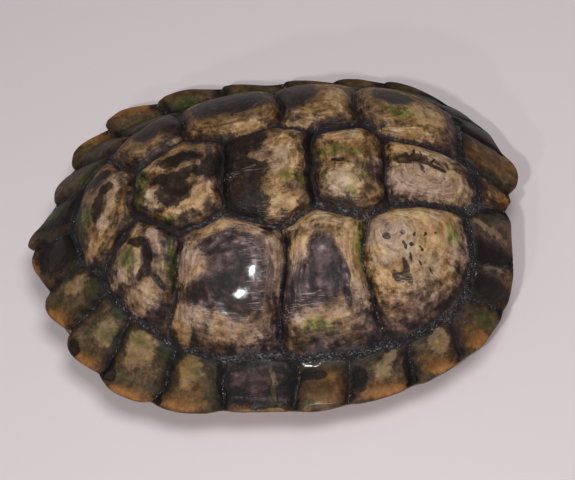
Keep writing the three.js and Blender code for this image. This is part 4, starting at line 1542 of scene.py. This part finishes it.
    def wear_and_shade(self, pale: Socket, shade: Socket) -> Socket:
        """How worn and pale the horn is, darkened by the painted shade by the seams.

        Args:
            pale: The pale patches.
            shade: The painted shade, with some grime, beside the seams.

        Returns:
            0 for worn dark and deepest painted shade to 1 for worn pale.
        """
        rough = self.roughened(0.0, self.worn_by)
        calm = self.add(Step.PASS, pale, *self.calm_by_pale)
        calm = self.add(Step.TIMES, calm, self.by_rim(*self.calm_by_rim))
        worn = self.add(Step.PLUS, self.mean_wear, self.add(Step.TIMES, rough, calm))
        worn = self.add(Step.PLUS, worn, self.add(Step.TIMES, pale, self.pale_wear))
        on_rim = self.add(Step.TIMES, self.field["rim"], self.rim_wear)
        worn = self.add(Step.LESS, worn, on_rim)
        # the painted shade by the seams darkens it
        return self.add(Step.LESS, worn, self.add(Step.TIMES, shade, self.shade_wear))

    def plain_horn(self, worn: Socket, pale: Socket, shade: Socket, plum: Socket) -> Socket:
        """The tan horn with its greyer clouds, its plum-coloured stains and the painted shade by the
        seams, tinted plum.

        Args:
            worn: How worn the horn is.
            pale: The pale patches.
            shade: The painted shade, with some grime, beside the seams.
            plum: The plum-coloured stains.

        Returns:
            The colour.
        """
        plum_horn = self.horn_colour(worn, self.plum)
        grey = self.add(Step.EASE, self.noise["clouds"], *self.grey_span)
        grey = self.add(Step.TIMES, grey, self.grey_most)
        base = self.add(Step.OVER, grey, self.horn_colour(worn, self.tan), plum_horn)
        stained = self.add(Step.TIMES, plum, self.plum_most)
        # plum stains and the painted shade by the seams, both laid on in plum
        plum_and_shade = self.add(Step.MOST, stained, self.add(Step.TIMES, shade, self.plum_shade_most))
        plum_and_shade = self.add(Step.TIMES, plum_and_shade, self.add(Step.PASS, pale, *self.plum_and_shade_by_pale))
        return self.add(Step.OVER, plum_and_shade, base, plum_horn)

    def amber_edge(self, rust: Socket) -> Socket:
        """The thin amber horn at the free edge, wider where a rust stain lies on it.

        Args:
            rust: The rust stains.

        Returns:
            How strongly it shows.
        """
        gap = self.roughened(self.field["free"], self.amber_by)
        amber = self.add(Step.EASE, gap, *self.amber_span)
        amber = self.add(Step.TIMES, amber, self.add(Step.PASS, rust, *self.amber_by_rust))
        warm = self.add(Step.TIMES, rust, self.field["rim"])
        warm = self.add(Step.TIMES, warm, self.warm_most)
        return self.add(Step.MOST, amber, warm)

    def warmed(self, base: Socket, worn: Socket, rust: Socket, plum: Socket, amber: Socket) -> Socket:
        """Lays rust stains, ochre patches and the amber edge over the horn.

        Args:
            base: The colour so far.
            worn: How worn the horn is.
            rust: The rust stains.
            plum: The plum-coloured stains, which let little ochre through.
            amber: The amber edge.

        Returns:
            The colour.
        """
        ochre = self.add(Step.EASE, self.noise["patches"], *self.ochre_span)
        ochre = self.add(Step.TIMES, ochre, self.by_rim(*self.ochre_by_rim))
        ochre = self.add(Step.TIMES, ochre, self.add(Step.PASS, plum, *self.ochre_by_plum))
        rusty = self.add(Step.MOST, ochre, self.add(Step.TIMES, rust, self.rust_most))
        glow = self.add(Step.LESS, amber, self.amber_mean)
        glow = self.add(Step.TIMES, glow, self.amber_glow)
        base = self.add(Step.OVER, rusty, base, self.horn_colour(worn, self.rust))
        lit = self.horn_colour(self.add(Step.PLUS, worn, glow), self.amber)
        return self.add(Step.OVER, amber, base, lit)

    def stained(self, base: Socket, worn: Socket, dark: Socket, plum: Socket, amber: Socket) -> Socket:
        """Lays the dark marks, the smoky rim and the algae over the horn.

        Args:
            base: The colour so far.
            worn: How worn the horn is.
            dark: The dark marks.
            plum: The plum-coloured stains, where dark marks turn lilac.
            amber: The amber edge, which stays clear.

        Returns:
            The colour.
        """
        dark_horn = self.horn_colour(worn, self.dark)
        lined = self.roughened(worn, self.lined_by)
        deep = self.add(Step.OVER, plum, dark_horn, self.horn_colour(lined, self.lilac))
        base = self.add(Step.OVER, self.add(Step.TIMES, dark, self.dark_most), base, deep)
        clear = self.add(Step.LESS, 1.0, amber)
        smoke = self.roughened(self.noise["smoke"], self.smoke_by)
        smoke = self.add(Step.TIMES, self.field["rim"], self.add(Step.EASE, smoke, *self.smoke_span))
        base = self.add(Step.OVER, self.add(Step.TIMES, smoke, clear), base, dark_horn)
        olive = self.add(Step.EASE, self.noise["clouds"], *self.olive_span)
        olive = self.add(Step.TIMES, self.field["rim"], olive)
        olive = self.add(Step.TIMES, olive, self.add(Step.LESS, 1.0, dark))
        green = self.add(Step.TIMES, self.edged(Stain.ALGAE), self.algae_most)
        green = self.add(Step.MOST, olive, green)
        green = self.add(Step.TIMES, green, clear)
        return self.add(Step.OVER, green, base, self.horn_colour(worn, self.algae))

    def scratches(self) -> Socket:
        """The fine pale scratches along the shell.

        Returns:
            How strongly they show.
        """
        way = self.add(Step.STRETCH, self.place, (self.scratch_long, 1.0, 1.0))
        size, detail, rough = self.scratch_grain
        lines = self.add(Step.NOISE, way, 1 / size, detail, rough)
        lines = self.add(Step.EASE, lines, *self.scratch_span)
        return self.add(Step.TIMES, self.edged(Stain.SCRATCH), lines)

    def glints(self, valley: Socket, wet: Socket) -> Socket:
        """The beaded wet film in the seams, which catches the light in small glints.

        Args:
            valley: The seams.
            wet: The wet horn.

        Returns:
            How strongly it shows.
        """
        some = self.add(Step.EASE, self.noise["blotches"], *self.wet_span)
        beaded = self.add(Step.TIMES, valley, self.add(Step.MOST, some, wet))
        beaded = self.add(Step.TIMES, beaded, self.add(Step.EASE, self.noise["beads"], *self.bead_span))
        height = self.add(Step.HEIGHT, self.place)
        return self.add(Step.TIMES, beaded, self.add(Step.EASE, height, *self.damp_span))

    def relief(self, dark: Socket, scratch: Socket, film: Socket, glints: Socket) -> Socket:
        """The fine relief of the horn: rings, flecks and scratches, smooth under a wet film.

        Args:
            dark: The dark marks, worn lower.
            scratch: The scratches, with raised borders.
            film: The wet film.
            glints: The part of it that is beaded.

        Returns:
            The bent normal.
        """
        height = 0.0
        for label, weight in self.raised_by.items():
            height = self.add(Step.PLUS, height, self.add(Step.TIMES, self.noise[label], weight))
        height = self.add(Step.PLUS, height, self.add(Step.TIMES, scratch, self.scratch_height))
        beads = self.add(Step.TIMES, self.noise["beads"], self.bead_height)
        height = self.add(Step.PLUS, height, self.add(Step.TIMES, glints, beads))
        height = self.add(Step.LESS, height, self.add(Step.TIMES, dark, self.dark_depth))
        smooth = self.add(Step.TIMES, self.add(Step.LESS, film, glints), self.film_smooth)
        rough = self.add(Step.LESS, 1.0, smooth)
        strength = self.add(Step.TIMES, rough, self.bump_strength)
        return self.add(Step.BUMP, height, self.bump_mm * MM, strength)

    def build(self) -> bpy.types.Material:
        """Makes the material.

        Returns:
            The material.
        """
        pale, plum = self.edged(Stain.PALE), self.edged(Stain.PLUM)
        rust, dark, wet = self.edged(Stain.RUST), self.edged(Stain.DARK), self.edged(Stain.WET)
        # painted shade, with some grime, darker towards each seam; worn takes it in
        shade = self.shade(pale)
        worn = self.wear_and_shade(pale, shade)
        amber = self.amber_edge(rust)
        base = self.plain_horn(worn, pale, shade, plum)
        base = self.warmed(base, worn, rust, plum, amber)
        base = self.stained(base, worn, dark, plum, amber)
        scratch = self.scratches()
        base = self.add(Step.OVER, scratch, base, self.chalk)
        gap = self.roughened(self.field["seam"], self.skin_by)
        valley = self.add(Step.EASE, gap, *self.seam_span)
        base = self.add(Step.OVER, valley, base, self.skin)
        wet = self.add(Step.MOST, self.add(Step.TIMES, dark, self.dark_film), wet)
        glints = self.glints(valley, wet)
        film = self.add(Step.MOST, self.add(Step.LESS, wet, valley), glints)
        normal = self.relief(dark, scratch, film, glints)
        return self.dress({
            "Base Color": base,
            "Roughness": self.add(Step.PASS, valley, *self.bare_rough),
            "IOR": self.ior,
            "Specular IOR Level": self.sheen,
            "Normal": normal,
            "Coat Weight": film,
            "Coat Roughness": self.add(Step.PASS, valley, *self.film_rough),
            "Coat IOR": self.add(Step.PASS, valley, *self.film_ior),
            "Coat Normal": normal,
        })


class DryBone(Finish):
    """Bare bone, grown: dull cream with brown clouds and fine pits, as the inside of a shell."""

    name = "dry_bone"
    bone = "c9b48e"
    brown = "8a6c48"
    grains = {"clouds": (14.0, 3, 0.55), "pits": (0.8, 4, 0.6)}
    cloud_span: Span = (0.35, 0.72, 0.0, 1.0)
    pit_span: Span = (0.55, 0.75, 0.0, 0.5)
    rough = 0.72
    bump_mm = 0.3
    bump_strength = 0.6

    def build(self) -> bpy.types.Material:
        """Makes the material.

        Returns:
            The material.
        """
        pits = self.noise["pits"]
        clouds = self.add(Step.EASE, self.noise["clouds"], *self.cloud_span)
        base = self.add(Step.OVER, clouds, self.bone, self.brown)
        pitted = self.add(Step.EASE, pits, *self.pit_span)
        return self.dress({
            "Base Color": self.add(Step.OVER, pitted, base, self.brown),
            "Roughness": self.rough,
            "Normal": self.add(Step.BUMP, pits, self.bump_mm * MM, self.bump_strength),
        })


class BellyHorn(Finish):
    """Keratin of the belly plates, thin and worn smooth: waxy yellow with dark smudges."""

    name = "belly_horn_keratin"
    yellow = "c2a05a"
    amber = "a87c3c"
    smudge = "33261c"
    seam = "4a3420"
    grains = {"clouds": (16.0, 3, 0.55), "smudges": (24.0, 4, 0.6), "scuffs": (1.2, 4, 0.6)}
    cloud_span: Span = (0.35, 0.7, 0.0, 1.0)
    smudge_span: Span = (0.52, 0.62, 0.0, 0.8)
    scuff_span: Span = (0.55, 0.75, 0.0, 0.3)
    seam_span: Span = (0.2, 1.6, 0.85, 0.0)  # gap to a seam in millimetres
    rough_span: Span = (0.3, 0.7, 0.34, 0.5)
    ior = 1.54
    bump_mm = 0.2
    bump_strength = 0.5

    def build(self) -> bpy.types.Material:
        """Makes the material.

        Returns:
            The material.
        """
        scuffs = self.noise["scuffs"]
        clouds = self.add(Step.EASE, self.noise["clouds"], *self.cloud_span)
        base = self.add(Step.OVER, clouds, self.yellow, self.amber)
        smudges = self.add(Step.EASE, self.noise["smudges"], *self.smudge_span)
        base = self.add(Step.OVER, smudges, base, self.smudge)
        base = self.add(Step.OVER, self.add(Step.EASE, scuffs, *self.scuff_span), base, self.yellow)
        gap = self.add(Step.FIELD, attribute_name="seam")
        seams = self.add(Step.EASE, gap, *self.seam_span)
        return self.dress({
            "Base Color": self.add(Step.OVER, seams, base, self.seam),
            "Roughness": self.add(Step.EASE, scuffs, *self.rough_span),
            "IOR": self.ior,
            "Normal": self.add(Step.BUMP, scuffs, self.bump_mm * MM, self.bump_strength),
        })


class FloorPaper(Finish):
    """Matt paper, made smooth: a plain pale floor with no pattern."""

    name = "floor_paper"
    colour = "dad0d3"
    rough = 0.9

    def build(self) -> bpy.types.Material:
        """Makes the material.

        Returns:
            The material.
        """
        return self.dress({"Base Color": self.colour, "Roughness": self.rough})


@dataclass(frozen=True)
class Lamp:
    """A square light that faces the shell: its place and width in metres, and its watts."""

    name: str
    at: Place
    size: float
    power: float
    aim: Place = (0, 0, 0.03)

    def build(self) -> None:
        """Adds the light to the scene."""
        data = bpy.data.lights.new(self.name, "AREA")
        data.size = self.size
        data.energy = self.power
        lamp = bpy.data.objects.new(self.name, data)
        lamp.location = self.at
        way = Vector(self.aim) - Vector(self.at)
        lamp.rotation_euler = way.to_track_quat("-Z", "Y").to_euler()
        bpy.context.scene.collection.objects.link(lamp)


@dataclass
class Studio:
    """The plain floor, the soft lights and the camera. Lengths are metres."""

    floor_size: float = 6.0
    floor_drop: float = 0.4 * MM  # keeps the floor clear of the belly face
    camera_at: Place = (0.05675, -0.3871, 0.6029)
    right: Place = (0.9946, -0.0232, -0.1013)
    up: Place = (0.0749, 0.836, 0.5437)
    back_way: Place = (0.0721, -0.5483, 0.8332)
    lens: float = 105.9
    sensor: float = 36.0
    lamps: tuple[Lamp, ...] = (
        Lamp("flash", (-0.08, -0.5, 0.66), 0.03, 2.1),
        Lamp("glint", (-0.31, -0.94, 0.75), 0.05, 1.3),
        Lamp("key", (0.2, -0.15, 0.95), 0.35, 4.9),
        Lamp("sky", (-0.4, 0.2, 0.9), 1.2, 0.7),
    )
    air: str = "d8d4d4"
    air_strength: float = 0.14

    def add_floor(self) -> None:
        """Lays the floor, which is no part of the shell."""
        bpy.ops.mesh.primitive_plane_add(size=self.floor_size)
        floor = bpy.context.object
        floor.name = "floor"
        floor.location.z = -self.floor_drop
        floor.data.materials.append(FloorPaper().build())

    def add_camera(self) -> None:
        """Sets up the camera over the shell's right side."""
        data = bpy.data.cameras.new("camera")
        data.lens = self.lens
        data.sensor_width = self.sensor
        camera = bpy.data.objects.new("camera", data)
        turn = Matrix((self.right, self.up, self.back_way)).transposed()
        camera.matrix_world = Matrix.Translation(Vector(self.camera_at)) @ turn.to_4x4()
        bpy.context.scene.collection.objects.link(camera)
        bpy.context.scene.camera = camera

    def fill_air(self) -> None:
        """Gives the surroundings their faint even light."""
        world = bpy.context.scene.world or bpy.data.worlds.new("studio")
        bpy.context.scene.world = world
        world.use_nodes = True
        background = world.node_tree.nodes["Background"]
        background.inputs["Color"].default_value = linear(self.air)
        background.inputs["Strength"].default_value = self.air_strength

    def build(self) -> None:
        """Builds everything that isn't the shell."""
        self.add_floor()
        self.add_camera()
        for lamp in self.lamps:
            lamp.build()
        self.fill_air()
        bpy.context.scene.view_settings.view_transform = "Standard"


def main() -> None:
    """Builds the shell and the studio, in order."""
    logging.basicConfig(level=logging.INFO, format="%(message)s")
    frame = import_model()
    LOG.info("frame: %s", sorted(frame["nodes"]))
    net = SeamNet()
    bone = DryBone().build()
    piece = Carapace(net).build(ShieldHorn().build(), bone)
    LOG.info("carapace: %d faces", len(piece.data.polygons))
    piece = Plastron().build(BellyHorn().build(), bone)
    LOG.info("plastron: %d faces", len(piece.data.polygons))
    Studio().build()
    LOG.info("studio ready")


if __name__ == "__main__":
    main()
